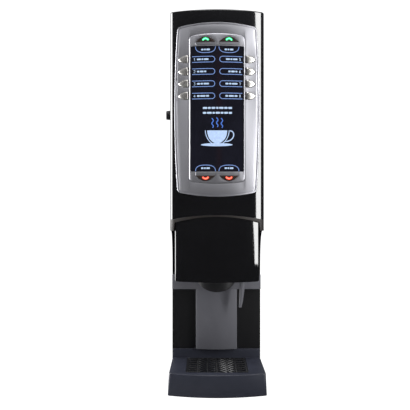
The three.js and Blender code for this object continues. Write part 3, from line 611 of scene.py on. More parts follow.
def slice_across(piece, spacing=0.003, axis=0):
    """Cuts a flat piece into strips, so that it can follow a bow."""
    places = [vertex.co[axis] for vertex in piece.data.vertices]
    low, high = min(places), max(places)
    count = int((high - low) / spacing)
    normal = Vector((axis == 0, axis == 1, axis == 2))
    with Editing(piece):
        for step in range(1, count + 1):
            bpy.ops.mesh.select_all(action="SELECT")
            bpy.ops.mesh.bisect(plane_co=normal * (low + (high - low) * step / (count + 1)), plane_no=normal)
    return piece


def lay_on_bow(piece, radius=BOW):
    for vertex in piece.data.vertices:
        out = radius - vertex.co.y
        vertex.co.y = -math.sqrt(out ** 2 - vertex.co.x ** 2)
    return piece


def inset_front(piece, *rings):
    """Insets the foremost face again and again, each ring a width and a rise."""
    front = min(vertex.co.y for vertex in piece.data.vertices)
    choose(piece, "polygons", lambda face: face.normal.y < -0.9 and abs(face.center.y - front) < 1e-5)
    with Editing(piece, "FACE"):
        for width, rise in rings:
            bpy.ops.mesh.inset(thickness=width, depth=rise)
    return piece


def dome_front(piece, centre, *rings):
    """Raises the foremost face ring by ring, each scaled towards a centre by a share and lifted."""
    front = min(vertex.co.y for vertex in piece.data.vertices)
    choose(piece, "polygons", lambda face: face.normal.y < -0.9 and abs(face.center.y - front) < 1e-5)
    with Editing(piece, "FACE"):
        for share, rise in rings:
            bpy.ops.mesh.extrude_region_move(TRANSFORM_OT_translate={"value": (0.0, -rise, 0.0)})
            bpy.ops.transform.resize(value=(share, 1.0, share), center_override=centre)
    return piece


def copy_of(piece, name, move=(0, 0, 0)):
    twin = bpy.data.objects.new(name, piece.data.copy())
    bpy.context.scene.collection.objects.link(twin)
    for vertex in twin.data.vertices:
        vertex.co += Vector(move)
    return twin


def paint(piece, finish):
    piece.data.materials.clear()
    piece.data.materials.append(finish)
    return piece


def smooth(piece, angle=32.0):
    make_active(piece)
    bpy.ops.object.shade_smooth_by_angle(angle=math.radians(angle))
    return piece


def fit(piece, body, slot, *replaced, angle=32.0):
    """Gives a finished piece its shading and the body it moves with, and hides the CAD nodes it stands for;
    the slot is not used.
    """
    smooth(piece, angle)
    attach(piece, body)
    if replaced:
        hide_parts(*replaced)
    return piece


def refine(node, body, slot, finish, edge=0.0005, segments=2, suffix="finished"):
    """A copy of a CAD node with its triangles merged into faces and its edges rounded."""
    piece = copy_of(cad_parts[node], f"{node}_{suffix}")
    with Editing(piece):
        bpy.ops.mesh.select_all(action="SELECT")
        bpy.ops.mesh.remove_doubles(threshold=1e-6)
        bpy.ops.mesh.dissolve_limited(angle_limit=math.radians(0.5))
    if edge:
        modify(piece, "BEVEL", width=edge, segments=segments, limit_method="ANGLE",
               angle_limit=math.radians(40), use_clamp_overlap=True)
    return fit(paint(piece, finish), body, slot, node)


# ------------------------------------------------------------------ settings

def shade(name, description, default):
    return bpy.props.FloatVectorProperty(name=name, description=description, default=default,
                                         subtype="COLOR", size=3, min=0.0, max=1.0)


def length(name, description, default):
    return bpy.props.FloatProperty(name=name, description=description, default=default,
                                   unit="LENGTH", min=0.0, precision=5)


class MachineSettings(bpy.types.PropertyGroup):
    """Sizes and colours that can be changed before the pieces are built."""

    door_edge: length("Door edge", "Rounding of the door's upper edge", 0.003)
    trim_edge: length("Trim edge", "Rounding of the arched band", 0.0009)
    rim_width: length("Rim width", "Flat rim outside the groove round the fascia", 0.0022)
    groove: length("Groove", "Depth of the groove round the fascia", 0.0011)
    line_width: length("Line width", "Width of the lit lines on the display", 0.0013)
    key_dome: length("Key dome", "Rise of the drink keys' domes", 0.0018)
    tray_edge: length("Tray edge", "Rounding of the tray's upper edge", 0.0022)
    bar_radius: length("Bar radius", "Half the thickness of the grille's bars", 0.0013)
    black: shade("Black", "Gloss black of the door and mask", (0.0042, 0.0042, 0.0050))
    grey: shade("Grey", "Satin grey of the cup station", (0.125, 0.126, 0.143))
    paint: shade("Paint", "Baked paint on the cabinet", (0.012, 0.012, 0.013))
    silver: shade("Silver", "Lacquer of the fascia", (0.50, 0.50, 0.535))
    trim: shade("Trim", "Warm grey of the arched band", (0.026, 0.022, 0.020))
    pearl: shade("Pearl", "Satin chrome of the drink keys", (0.83, 0.81, 0.77))
    # The tray colour is partly a painted reflection: its blue tint stands in for blue light reflected on the
    # dark grey moulding.
    tray: shade("Tray", "Blue-grey moulding of the drip tray", (0.029, 0.032, 0.047))
    steel: shade("Steel", "Sheet metal inside and at the back", (0.56, 0.57, 0.58))
    canister: shade("Canister", "Cloudy plastic of the powder canisters", (0.72, 0.69, 0.61))
    ink: shade("Ink", "Light of the lines on the display", (0.30, 0.48, 1.0))
    floor: shade("Floor", "Ground under the machine", (0.9, 0.9, 0.9))


FINISHES = {
    "gloss_black": gloss_black,
    "satin_grey": lambda settings: satin_moulding("satin_grey", settings.grey),
    "black_paint": lambda settings: powder_coat("black_paint", settings.paint),
    "silver_paint": lambda settings: metallic_paint("silver_paint", settings.silver, 0.46),
    "silver_key": lambda settings: metallic_paint("silver_key", tone(settings.silver, 0.9), 0.4),
    "dark_trim": lambda settings: satin_moulding("dark_trim", settings.trim, 0.5),
    "window": display_glass,
    "pearl_key": pearl_key,
    "tray_plastic": tray_plastic,
    "steel": lambda settings: brushed_metal("steel", settings.steel),
    "chrome": lambda settings: brushed_metal("chrome", (0.78, 0.78, 0.79), 0.14, (200.0, 200.0, 200.0)),
    "rubber": lambda settings: moulded_rubber("rubber", (0.012, 0.012, 0.012)),
    "canister_plastic": canister_plastic,
    "circuit_board": circuit_board,
    "white_plastic": lambda settings: satin_moulding("white_plastic", (0.74, 0.73, 0.70), 0.38),
    "dark_plastic": lambda settings: satin_moulding("dark_plastic", (0.016, 0.016, 0.018), 0.42),
    # The well finish is a dark brown that paints the shade inside the key recesses.
    "well": lambda settings: satin_moulding("well", (0.020, 0.012, 0.009), 0.4),
    "brass": lambda settings: brushed_metal("brass", (0.62, 0.44, 0.19), 0.28, (120.0, 900.0, 120.0)),
    "hose": lambda settings: moulded_rubber("hose", (0.42, 0.43, 0.42)),
    "lit_line": lambda settings: lit_ink("lit_line", tone(settings.ink, 0.75), 0.75),
    "lit_mark": lambda settings: lit_ink("lit_mark", (0.55, 0.72, 1.0), 0.75),
    "lit_cup": lambda settings: lit_ink("lit_cup", (0.52, 0.68, 1.0), 0.8),
    "lit_steam": lambda settings: lit_ink("lit_steam", (0.10, 0.25, 0.85), 0.7),
    "smoked_lens": lambda settings: lens("smoked_lens", (0.035, 0.024, 0.02), 0.02),
    "green_lamp": lambda settings: lens("green_lamp", (0.16, 1.0, 0.45), 2.6),
    "red_lamp": lambda settings: lens("red_lamp", (1.0, 0.16, 0.10), 2.8),
    "green_glow": lambda settings: lens("green_glow", (0.02, 0.55, 0.16), 0.45),
    "red_glow": lambda settings: lens("red_glow", (0.62, 0.05, 0.03), 0.5),
    "wall_black": lambda settings: satin_moulding("wall_black", (0.011, 0.011, 0.012), 0.3, 0.00003),
    "studio_floor": studio_floor,
}


def finish_of(name):
    """The finish with this name, made from the settings when it is first asked for."""
    made = bpy.data.materials.get(f"finish_{name}")
    return made or FINISHES[name](bpy.context.scene.drinks_machine)


# ------------------------------------------------------------------ door

class DRINKS_OT_door_front(bpy.types.Operator):
    """Gloss black door: a bowed shell, open behind the display, with an arched foot"""

    bl_idname = "drinks.door_front"
    bl_label = "Door Front"

    def execute(self, context):
        settings = context.scene.drinks_machine
        shell = prism("door_front", bowed_plan(**FRONT_SHAPES["door"]), 0.340, 0.787)
        at = shell.data.vertices
        choose(shell, "edges", lambda edge: all(at[i].co.z > 0.78 for i in edge.vertices)
               and any(at[i].co.y < -0.1365 for i in edge.vertices))
        with Editing(shell, "EDGE"):
            bpy.ops.mesh.bevel(offset=settings.door_edge, segments=6, affect="EDGES")
        foot = [(-0.11, 0.3), (0.11, 0.3)]
        foot += [(x * MM, arch_top(x * MM)) for x in range(110, -111, -5)]
        cut(shell,
            prism("cavity", bowed_plan(0.095, 0.192, 0.011, -0.130), 0.372, 0.784),
            slab("foot", foot, 0.10, 0.23),
            slab("opening", rounded(-0.083, 0.083, 0.424, 0.742, 0.008), 0.15, 0.23),
            rod("lock_hole", "x", -0.11, -0.09, (-0.149, 0.574), 0.009),
            block("upper_notch", (0.090, -0.143, 0.779), (0.099, -0.130, 0.784)),
            block("lower_notch", (0.090, -0.143, 0.372), (0.099, -0.130, 0.3765)),
            rod("upper_bore", "z", 0.782, 0.7862, (0.095, -0.1375), 0.0021),
            rod("lower_bore", "z", 0.3678, 0.374, (0.095, -0.1375), 0.0021))
        fit(paint(shell, finish_of("gloss_black")), "door", "gloss_black", "door_shell")
        return {"FINISHED"}


class DRINKS_OT_arched_band(bpy.types.Operator):
    """Metallic band that arches under the door and ends in a lug at each side"""

    bl_idname = "drinks.arched_band"
    bl_label = "Arched Band"

    def execute(self, context):
        settings = context.scene.drinks_machine
        band = prism("arched_band", bowed_plan(**FRONT_SHAPES["door"]), 0.325, 0.375)
        cut(band, prism("inside", bowed_plan(0.094, 0.191, 0.010, -0.130), 0.320, 0.380))
        across = [-0.1, -0.09, -0.0895, -0.089, -0.0885, -0.088]
        across += [x * MM for x in range(-85, 86, 5)] + [-x for x in across[::-1]]
        outline = [(x, arch_under(x)) for x in across]
        outline += [(x, arch_top(x) - GAP) for x in across[::-1] if abs(x) < 0.088 or abs(x) > 0.0985]
        keep(band, slab("reach", outline, 0.10, 0.23))
        bevel(band, settings.trim_edge, 3, 40)
        fit(paint(band, finish_of("dark_trim")), "door", "dark_trim", "arch_trim")
        return {"FINISHED"}


class DRINKS_OT_hood_mask(bpy.types.Operator):
    """Gloss black mask over the nozzle, with faint ribs and a pointer to the cup's place"""

    bl_idname = "drinks.hood_mask"
    bl_label = "Hood Mask"

    def execute(self, context):
        radius = FRONT_SHAPES["mask"]["radius"]
        mask = prism("hood_shield", bowed_plan(**FRONT_SHAPES["mask"]), 0.227, 0.365)
        cut(mask, prism("inside", bowed_plan(0.0844, radius - 0.003, 0.002, -0.137), 0.220, 0.340))
        half = FRONT_SHAPES["mask"]["half"] + GAP
        lower = rounded(-half, half, 0.227, 0.4, 0.004)
        sides = [point for point in lower if point[1] < 0.3]
        top = [(x * MM, arch_under(x * MM) - GAP) for x in range(85, -86, -5)]
        corner_top = ARCH["under_end"] - GAP
        right = [point for point in sides if point[0] > 0] + [(half, corner_top)]
        left = [(-half, corner_top)] + [point for point in sides if point[0] < 0]
        keep(mask, slab("reach", right + top + left, 0.10, 0.23))
        bevel(mask, 0.0006, 3, 40)
        fit(paint(mask, finish_of("gloss_black")), "door", "gloss_black", "hood_mask")
        lines = [[(-0.026, z), (0.026, z)] for z in (0.279, 0.2725, 0.266, 0.2595, 0.253)]
        lines += [[(-0.026, 0.252), (0.0, 0.234), (0.026, 0.252)]]
        ribs = [slab("rib", stroke(line, 0.0008), -0.0001, 0.0003) for line in lines]
        for z in (0.279, 0.2725, 0.266, 0.2595, 0.253):
            for side in (-0.0275, 0.0275):
                studs = arc(side, z, 0.0007, 0.0, 1.75 * math.pi, 7)
                ribs.append(slab("stud", studs, -0.0001, 0.0005))
        relief = lay_on_bow(slice_across(join("mask_relief", ribs)), radius)
        fit(paint(relief, finish_of("gloss_black")), "door", "gloss_black")
        return {"FINISHED"}


def on_bow(piece, finish, body, slot, *replaced, spacing=0.003):
    """Cuts a flat piece into strips, lays it on the door's bow and finishes it."""
    slice_across(piece, spacing)
    lay_on_bow(piece)
    return fit(paint(piece, finish_of(finish)), body, slot, *replaced)


def key_places():
    return [(side * SIDE_X, z, side) for z in SIDE_ROWS for side in (-1, 1)]


class DRINKS_OT_fascia(bpy.types.Operator):
    """Silver barrel-shaped fascia with a groove inside its rim and a well round each key; a dark brown plate
    behind it is painted shade inside the wells and the slots beside the keys
    """

    bl_idname = "drinks.fascia"
    bl_label = "Fascia"

    def execute(self, context):
        settings = context.scene.drinks_machine
        outline = barrel(0.082, 0.088, 0.410, 0.754, 0.0068, 0.0052, 0.010)
        plate = slab("fascia_panel", outline, GAP, 0.0024)
        inset_front(plate, (0.0006, 0.0006), (settings.rim_width, 0.0), (0.0004, -settings.groove),
                    (0.0006, 0.0), (0.0006, settings.groove + 0.0002))
        wells = [slab("display_hole", bezel_outline(GAP), -0.01, 0.01)]
        wells += [slab("well", teardrop(x, z, side, 0.0008), -0.01, 0.01) for x, z, side in key_places()]
        for x, z, side in key_places():
            ends = sorted((x - side * 0.0125, x - side * 0.006))
            wells.append(slab("slot", rounded(*ends, z - 0.0078, z + 0.0078, 0.0015), -0.01, 0.01))
        cut(plate, *wells)
        bevel(plate, 0.00045, 2, 50)
        on_bow(plate, "silver_paint", "door", "silver_paint", "fascia")
        # Dark brown plate behind the fascia: painted shade that shows through the wells and the slot on each
        # key's inner side.
        back = slab("key_wells", rounded(-0.0815, 0.0815, 0.597, 0.698, 0.003), 0.0, 0.00025)
        holes = [slab("key_hole", teardrop(x, z, side, 0.0004), -0.01, 0.01) for x, z, side in key_places()]
        holes.append(slab("middle", rounded(-0.0572, 0.0572, 0.59, 0.71, 0.001), -0.01, 0.01))
        cut(back, *holes)
        on_bow(back, "well", "door", "dark_plastic")
        return {"FINISHED"}


class DRINKS_OT_display_surround(bpy.types.Operator):
    """Raised silver frame round the display, with a place for a key above and below each column"""

    bl_idname = "drinks.display_surround"
    bl_label = "Display Surround"

    def execute(self, context):
        ring = slab("display_surround", bezel_outline(), GAP, 0.0028)
        inset_front(ring, (0.0011, 0.0011), (0.0013, 0.0005))
        holes = [slab("sight", rounded(-0.055, 0.055, 0.4545, 0.711, 0.003), -0.01, 0.01)]
        for x in (-END_X, END_X):
            holes.append(slab("upper_key", half_moon(x, 0.713, 1, 0.0005), -0.01, 0.01))
            holes.append(slab("lower_key", half_moon(x, 0.4528, -1, 0.0005), -0.01, 0.01))
        cut(ring, *holes)
        bevel(ring, 0.0004, 2, 50)
        on_bow(ring, "silver_paint", "door", "silver_paint", "display_bezel")
        return {"FINISHED"}


class DRINKS_OT_display_glass(bpy.types.Operator):
    """Dark glass of the display, flush in its surround"""

    bl_idname = "drinks.display_glass"
    bl_label = "Display Glass"

    def execute(self, context):
        half, low, high = WINDOW["half"], WINDOW["low"], WINDOW["high"]
        glass = slab("display_glass", rounded(-half, half, low, high, 0.003), GAP, 0.0015)
        on_bow(glass, "window", "door", "window", "display_window")
        return {"FINISHED"}


DIGITS = {
    1: [[(-0.35, 0.6), (0.1, 1.0), (0.1, -1.0)]],
    2: [[(-0.6, 0.55), (-0.3, 1.0), (0.3, 1.0), (0.6, 0.5), (-0.6, -1.0), (0.65, -1.0)]],
    3: [[(-0.55, 1.0), (0.55, 1.0), (0.0, 0.15), (0.6, -0.35), (0.2, -1.0), (-0.55, -0.9)]],
    4: [[(0.3, -1.0), (0.3, 1.0), (-0.65, -0.35), (0.7, -0.35)]],
    5: [[(0.55, 1.0), (-0.45, 1.0), (-0.5, 0.15), (0.4, 0.15), (0.6, -0.4), (0.2, -1.0), (-0.55, -0.9)]],
    6: [[(0.4, 1.0), (-0.4, 0.1), (-0.5, -0.6), (0.0, -1.0), (0.5, -0.5), (0.1, 0.05), (-0.45, -0.2)]],
    7: [[(-0.6, 1.0), (0.6, 1.0), (-0.1, -1.0)]],
    8: [[(0.0, 0.1), (0.45, 0.55), (0.0, 1.0), (-0.45, 0.55), (0.0, 0.1), (0.55, -0.45), (0.0, -1.0),
         (-0.55, -0.45), (0.0, 0.1)]],
}


def lit_piece(name, outlines, finish, depth=0.00156):
    """Thin raised marks on the glass, as one piece."""
    marks = [slab("mark", outline, 0.0014, depth) for outline in outlines]
    return on_bow(join(name, marks), finish, "door", "window")


def dashes(x, z, widths, tall, gap=0.0011):
    """A row of short rounded bars that starts at x, one for each width."""
    marks = []
    for width in widths:
        marks.append(rounded(x, x + width, z - tall / 2, z + tall / 2, min(width, tall) * 0.35, 3))
        x += width + gap
    return marks


class DRINKS_OT_display_graphics(bpy.types.Operator):
    """Lit frames, numbers, bars and a steaming cup on the display"""

    bl_idname = "drinks.display_graphics"
    bl_label = "Display Graphics"

    def execute(self, context):
        width = context.scene.drinks_machine.line_width
        frames, marks = [], []
        for row, key_height in enumerate(SIDE_ROWS):
            z = key_height - FRAME_DROP
            for side in (-1, 1):
                edge, round_x, tall = side * 0.0515, side * 0.0108, 0.0058
                turn = arc(0.0, z, tall, math.pi / 2, -math.pi / 2, 14)
                nose = [(round_x - side * point[0], point[1]) for point in turn]
                frames.append(stroke([(edge, z + tall), *nose, (edge, z - tall)], width))
                number = row + 1 if side < 0 else row + 5
                at_x = side * 0.0466
                for line in DIGITS[number]:
                    points = [(at_x + dx * 0.0026, z + dz * 0.0026) for dx, dz in line]
                    marks.append(stroke(points, 0.0009))
                widths = [(6.5, 3.2, 7.5), (4.0, 6.0, 3.5), (5.0, 4.0, 9.0), (4.5, 8.5, 5.0)][row]
                widths = [1.25 * w * MM for w in widths]
                total = sum(widths) + 0.0022
                marks += dashes(-0.0415 if side < 0 else 0.0415 - total, z, widths, 0.0033)
        for x in (-END_X, END_X):
            for foot, facing in ((WINDOW["high"] - 0.0005, -1), (WINDOW["low"] + 0.0005, 1)):
                span = 0.0205
                bowl = bend((x - span, foot), (x - span, foot + facing * 0.012),
                            (x - span * 0.4, foot + facing * 0.0125), (x, foot + facing * 0.0125), steps=12)
                mirror = [(2 * x - px, pz) for px, pz in bowl[-2::-1]]
                frames.append(stroke([(x - span, foot), *bowl, *mirror, (x + span, foot)], width))
                marks += dashes(x - 0.009, foot + facing * 0.0062, (0.005, 0.0035, 0.0073), 0.0034)
        for z, widths in ((0.5845, (9, 6, 8, 5, 9, 7, 8)), (0.5745, (7, 10, 5, 9, 6, 8, 7))):
            row = [w * MM for w in widths]
            marks += dashes(-(sum(row) + 0.0078) / 2 + 0.0005, z, row, 0.0039, 0.0013)
        lit_piece("display_frames", frames, "lit_line")
        lit_piece("display_marks", marks, "lit_mark")
        cup_x, rim, foot = 0.0, 0.5385, 0.5100
        bowl = [(cup_x + 0.0205 * math.cos(turn), rim - 0.0265 * math.sin(turn))
                for turn in (math.pi * step / 28 for step in range(29))]
        outer = [(cup_x + 0.0245 * math.cos(turn), rim + 0.002 - 0.0315 * math.sin(turn))
                 for turn in (math.pi * (0.02 + 0.96 * step / 28) for step in range(29))]
        handle = bend((0.0235, rim - 0.001), (0.039, rim + 0.002), (0.037, foot + 0.006),
                      (0.0165, foot + 0.006), steps=18)
        saucer = [(cup_x - 0.001 + 0.0325 * math.cos(turn), foot - 0.0006 + 0.0032 * math.sin(turn))
                  for turn in (2 * math.pi * step / 36 for step in range(36))]
        lit_piece("display_cup", [bowl, stroke(outer, 0.0016), stroke(handle, 0.0021), saucer], "lit_cup")
        steam = []
        for x in (-0.0095, 0.0, 0.0095):
            rise = [(x + 0.0016 * math.sin(step * 0.62), 0.5455 + step * 0.00115 + abs(x) * -0.15)
                    for step in range(18)]
            steam.append(stroke(rise, 0.0019))
        lit_piece("display_steam", steam, "lit_steam")
        return {"FINISHED"}


class DRINKS_OT_drink_keys(bpy.types.Operator):
    """Eight domed, drop-shaped drink keys in satin chrome, each with a flange and a stem"""

    bl_idname = "drinks.drink_keys"
    bl_label = "Drink Keys"

    def execute(self, context):
        dome = context.scene.drinks_machine.key_dome
        for row, z in enumerate(SIDE_ROWS):
            for side, word in ((-1, "left"), (1, "right")):
                node = f"drink_button_{word}_{row + 1}"
                x = side * SIDE_X
                cap = slab(f"drink_key_{word}_{row + 1}", teardrop(x, z, side), -0.001, 0.0031)
                dome_front(cap, (x, 0.0, z), (0.97, 0.16 * dome), (0.95, 0.19 * dome), (0.92, 0.20 * dome),
                           (0.86, 0.19 * dome), (0.76, 0.14 * dome), (0.58, 0.08 * dome), (0.3, 0.03 * dome))
                flange = slab("flange", teardrop(x, z, side, 0.0012), -0.0016, -0.0001)
                lay_on_bow(cap)
                lay_on_bow(slice_across(flange, 0.004))
                front = -math.sqrt((BOW - 0.001) ** 2 - x ** 2)
                stem = block("stem", (x - 0.0025, front, z - 0.0025), (x + 0.0025, -0.1743, z + 0.0025))
                key = join(cap.name, [cap, flange, stem])
                fit(paint(key, finish_of("pearl_key")), node, "pearl_key", node, angle=50.0)
        return {"FINISHED"}


class DRINKS_OT_end_keys(bpy.types.Operator):
    """Four half-moon keys above and below the display, each with a smoked lens and a lamp"""

    bl_idname = "drinks.end_keys"
    bl_label = "End Keys"

    def execute(self, context):
        keys = (("strong_button", -END_X, 0.713, 1, "green_lamp"),
                ("large_button", END_X, 0.713, 1, "green_lamp"),
                ("hot_water_button", -END_X, 0.4528, -1, "red_lamp"),
                ("top_up_button", END_X, 0.4528, -1, "red_lamp"))
        for node, x, foot, facing, lamp in keys:
            body = slab(f"{node}_body", half_moon(x, foot, facing), -0.001, 0.0042)
            inset_front(body, (0.0006, 0.0006))
            on_bow(body, "silver_key", node, "silver_key", node)
            flange = slab("flange", half_moon(x, foot, facing, 0.0012), -0.0016, -0.0001)
            lay_on_bow(slice_across(flange, 0.004))
            stem_z = foot + facing * 0.008
            front = -math.sqrt((BOW - 0.001) ** 2 - x ** 2)
            stem = block("stem", (x - 0.0025, front, stem_z - 0.0025), (x + 0.0025, -0.1743, stem_z + 0.0025))
            fit(paint(join(f"{node}_flange", [flange, stem]), finish_of("silver_key")), node, "silver_key")
            waist = foot + facing * 0.0055
            crescent = [point for point in half_moon(x, foot, facing, -0.0006)
                        if facing * (point[1] - waist) > 0]
            shade_piece = bevel(slab(f"{node}_lens", crescent, 0.0040, 0.0054), 0.0006, 3, 50)
            on_bow(shade_piece, "smoked_lens", node, "dark_plastic")
            arch = [(x + 0.0052 * math.cos(turn), foot + facing * (0.0089 + 0.0038 * math.sin(turn)))
                    for turn in (math.pi * step / 14 for step in range(15))]
            light = slab(f"{node}_lamp", stroke(arch, 0.0021), 0.0050, 0.0060)
            on_bow(light, lamp, node, "dark_plastic", spacing=0.0015)
            halo = slab(f"{node}_lamp_glow", stroke(arch, 0.0050), 0.0050, 0.0056)
            on_bow(halo, lamp.replace("lamp", "glow"), node, "dark_plastic", spacing=0.0015)
        return {"FINISHED"}


# ------------------------------------------------------------------ cup station and tray

def tray_plan(half, back, front_half, front, sag, corner):
    shoulder = front + sag
    right = bend((front_half - corner, shoulder - MM), (front_half, shoulder),
                 (front_half, shoulder + corner), steps=9)
    left = [(-x, y) for x, y in right]
    middle = bend((corner - front_half, shoulder - MM), (0.0, front - sag + MM),
                  (front_half - corner, shoulder - MM), steps=60)
    start_of_bow = [(corner - front_half, shoulder - MM)]
    return [(-half, back)] + left[::-1] + start_of_bow + middle + right + [(half, back)]


def bowl_plan(half, front, back):
    return rounded(-half, half, front, back, 0.005, 6)


class DRINKS_OT_drip_tray(bpy.types.Operator):
    """Drip tray with a bowed front, sides that flare to the table, and an upstand at the back"""

    bl_idname = "drinks.drip_tray"
    bl_label = "Drip Tray"

    def execute(self, context):
        edge = context.scene.drinks_machine.tray_edge
        half, back, low, top = 0.0965, -0.0793, 0.002, 0.0475
        plan = tray_plan(half, back, 0.0981, -0.230, 0.016, 0.007)
        tray = prism("drip_tray_body", plan, low, top)
        at = tray.data.vertices
        choose(tray, "edges", lambda edge: all(at[i].co.z > 0.047 for i in edge.vertices)
               and any(at[i].co.y < -0.0795 for i in edge.vertices))
        with Editing(tray, "EDGE"):
            bpy.ops.mesh.bevel(offset=edge, segments=4, affect="EDGES")
        for vertex in tray.data.vertices:
            lean = (top - vertex.co.z) / (top - low)
            vertex.co.x *= 1.0 + 0.0023 / half * lean
        upstand = block("upstand", (-half, back - 0.0035, 0.010), (half, back, 0.067), 0.0008)
        fuse(tray, upstand)
        cut(tray, prism("seat", bowl_plan(0.064, -0.208, -0.083), 0.0435, 0.08),
            prism("well", bowl_plan(0.0605, -0.2045, -0.0865), 0.013, 0.08),
            prism("recess", rounded(-0.078, 0.078, -0.205, -0.0743, 0.004), -0.01, 0.009))
        bevel(tray, 0.0005, 2, 55)
        fit(paint(tray, finish_of("tray_plastic")), "tray", "tray_plastic", "drip_tray")
        return {"FINISHED"}


class DRINKS_OT_drip_grille(bpy.types.Operator):
    """Grille of waved round bars and straight ribs in a flat frame, under the cup's place"""

    bl_idname = "drinks.drip_grille"
    bl_label = "Drip Grille"

    def execute(self, context):
        thin = context.scene.drinks_machine.bar_radius
        low, high = 0.0438, 0.047
        frame_piece = prism("grille", bowl_plan(0.0635, -0.2075, -0.0835), low, high)
        cut(frame_piece, prism("inside", bowl_plan(0.0605, -0.2045, -0.0865), 0.04, 0.05))
        bevel(frame_piece, 0.0006, 2, 50)
        bars = [frame_piece]
        bar_level = high - thin - 0.0002
        for x in (-0.04, -0.02, 0.0, 0.02, 0.04):
            bars.append(rod("rib", "y", -0.2060, -0.0850, (x, bar_level - 0.0003), thin, sides=14))
        inside = prism("reach", bowl_plan(0.0625, -0.2065, -0.0845), 0.03, 0.06)
        for step in range(11):
            wave = self.wave(-0.2415 + 0.016 * step, bar_level, thin)
            bars.append(keep(wave, copy_of(inside, "reach_copy")))
        bpy.data.objects.remove(inside)
        grille = join("grille", bars)
        fit(paint(grille, finish_of("dark_plastic")), "grille", "dark_plastic", "drip_grille")
        return {"FINISHED"}


    @staticmethod
    def wave(side, height, thin):
        """A round bar, straight at both sides, that swings back under the cup."""
        start()
        bpy.ops.mesh.primitive_circle_add(vertices=12, radius=thin, rotation=(0.0, math.pi / 2, 0.0))
        bar = apply_place(bpy.context.object, "wave")
        for vertex in bar.data.vertices:
            vertex.co += Vector((-0.062, 0.0, height))
        pull(bar, (0.124, 0.0, 0.0))
        slice_across(bar, 0.003)
        for vertex in bar.data.vertices:
            reach = min(1.0, abs(vertex.co.x) / 0.042)
            vertex.co.y += side + 0.021 * (1.0 + math.cos(math.pi * reach))
        return bar


class DRINKS_OT_cup_station(bpy.types.Operator):
    """Back wall, header and bowed pillar of the cup station"""

    bl_idname = "drinks.cup_station"
    bl_label = "Cup Station"

    def execute(self, context):
        back = -0.0793
        header = block("cup_station_frame", (-0.097, -0.091, 0.199), (0.097, back, 0.231), 0.0012)
        roof = block("roof", (-0.082, -0.150, 0.229), (0.082, back - MM, 0.231))
        front = [(-0.045, back), (-0.045, -0.089)]
        front += bend((-0.045, -0.089), (0.0, -0.101), (0.045, -0.089), steps=30) + [(0.045, back)]
        pillar = bevel(prism("pillar", front, 0.0673, 0.200), 0.0012, 3, 40)
        cheeks = [block("cheek", (min(side * 0.081, side * 0.083), -0.150, 0.230),
                        (max(side * 0.081, side * 0.083), back - MM, 0.338)) for side in (-1, 1)]
        fuse(header, roof, pillar, *cheeks)
        cut(header, rod("nozzle_hole", "z", 0.224, 0.237, (0.0, -0.116), 0.0095),
            rod("spout_hole", "z", 0.224, 0.237, (0.056, -0.115), 0.009))
        fit(paint(header, finish_of("satin_grey")), "cabinet", "satin_grey", "niche_frame")
        wall = block("cup_station_wall", (-0.097, -0.079, 0.008), (0.097, -0.0773, 0.2287), 0.0004)
        fit(paint(wall, finish_of("wall_black")), "cabinet", "gloss_black", "niche_back_panel")
        return {"FINISHED"}


class DRINKS_OT_nozzle_guard(bpy.types.Operator):
    """Half-round splash guard in front of the drink nozzle"""

    bl_idname = "drinks.nozzle_guard"
    bl_label = "Nozzle Guard"

    def execute(self, context):
        top = 0.2287
        disc = [(0.042 * math.cos(turn), top - 0.0297 * math.sin(turn))
                for turn in (math.pi * step / 48 for step in range(49))]
        guard = slab("nozzle_guard_shell", disc, 0.076, 0.140)
        ring = arc(0.0, -0.075, 0.060, math.pi, 2 * math.pi, 72)
        ring += arc(0.0, -0.075, 0.057, 2 * math.pi, math.pi, 72)
        keep(guard, prism("ring", ring, 0.190, 0.240))
        bevel(guard, 0.0007, 3, 40)
        fit(paint(guard, finish_of("dark_plastic")), "cabinet", "dark_plastic", "nozzle_guard")
        return {"FINISHED"}


class DRINKS_OT_hot_water_spout(bpy.types.Operator):
    """Tapered hot water horn that hangs beside the nozzle and leans towards the cup"""

    bl_idname = "drinks.hot_water_spout"
    bl_label = "Hot Water Spout"

    def execute(self, context):
        low, high = 0.1635, 0.246
        profile = [(0.0018, low + 0.012), (0.0018, low + 0.0004), (0.0022, low), (0.0026, low)]
        profile += [(0.0028, low + 0.0004), (0.0042, 0.176), (0.0057, 0.205), (0.0063, 0.245)]
        profile += [(0.0061, high), (0.0046, high), (0.0044, 0.2355)]
        start()
        bpy.ops.mesh.primitive_circle_add(vertices=len(profile))
        horn = apply_place(bpy.context.object, "hot_water_horn")
        for vertex, (radius, height) in zip(horn.data.vertices, profile):
            vertex.co = (radius, 0.0, height)
        choose(horn, "edges", lambda edge: set(edge.vertices) == {0, len(profile) - 1})
        with Editing(horn, "EDGE"):
            bpy.ops.mesh.delete(type="EDGE")
            bpy.ops.mesh.select_all(action="SELECT")
            bpy.ops.mesh.subdivide(number_cuts=3)
            bpy.ops.mesh.select_all(action="SELECT")
            bpy.ops.mesh.spin(steps=40, angle=2 * math.pi, center=(0, 0, 0), axis=(0, 0, 1))
            bpy.ops.mesh.select_all(action="SELECT")
            bpy.ops.mesh.remove_doubles(threshold=1e-5)
            bpy.ops.mesh.normals_make_consistent(inside=False)
        for vertex in horn.data.vertices:
            drop = (high - vertex.co.z) / (high - low)
            vertex.co.x += 0.056 - 0.005 * drop ** 2
            vertex.co.y -= 0.115
        fit(paint(horn, finish_of("satin_grey")), "cabinet", "satin_grey", "hot_water_spout")
        return {"FINISHED"}


# ------------------------------------------------------------------ pieces that keep the CAD's shape

def refine_each(body, slot, edge, *nodes):
    """Copies of several CAD nodes with rounded edges, all on one body and with one finish."""
    return [refine(node, body, slot, finish_of(slot), edge) for node in nodes]


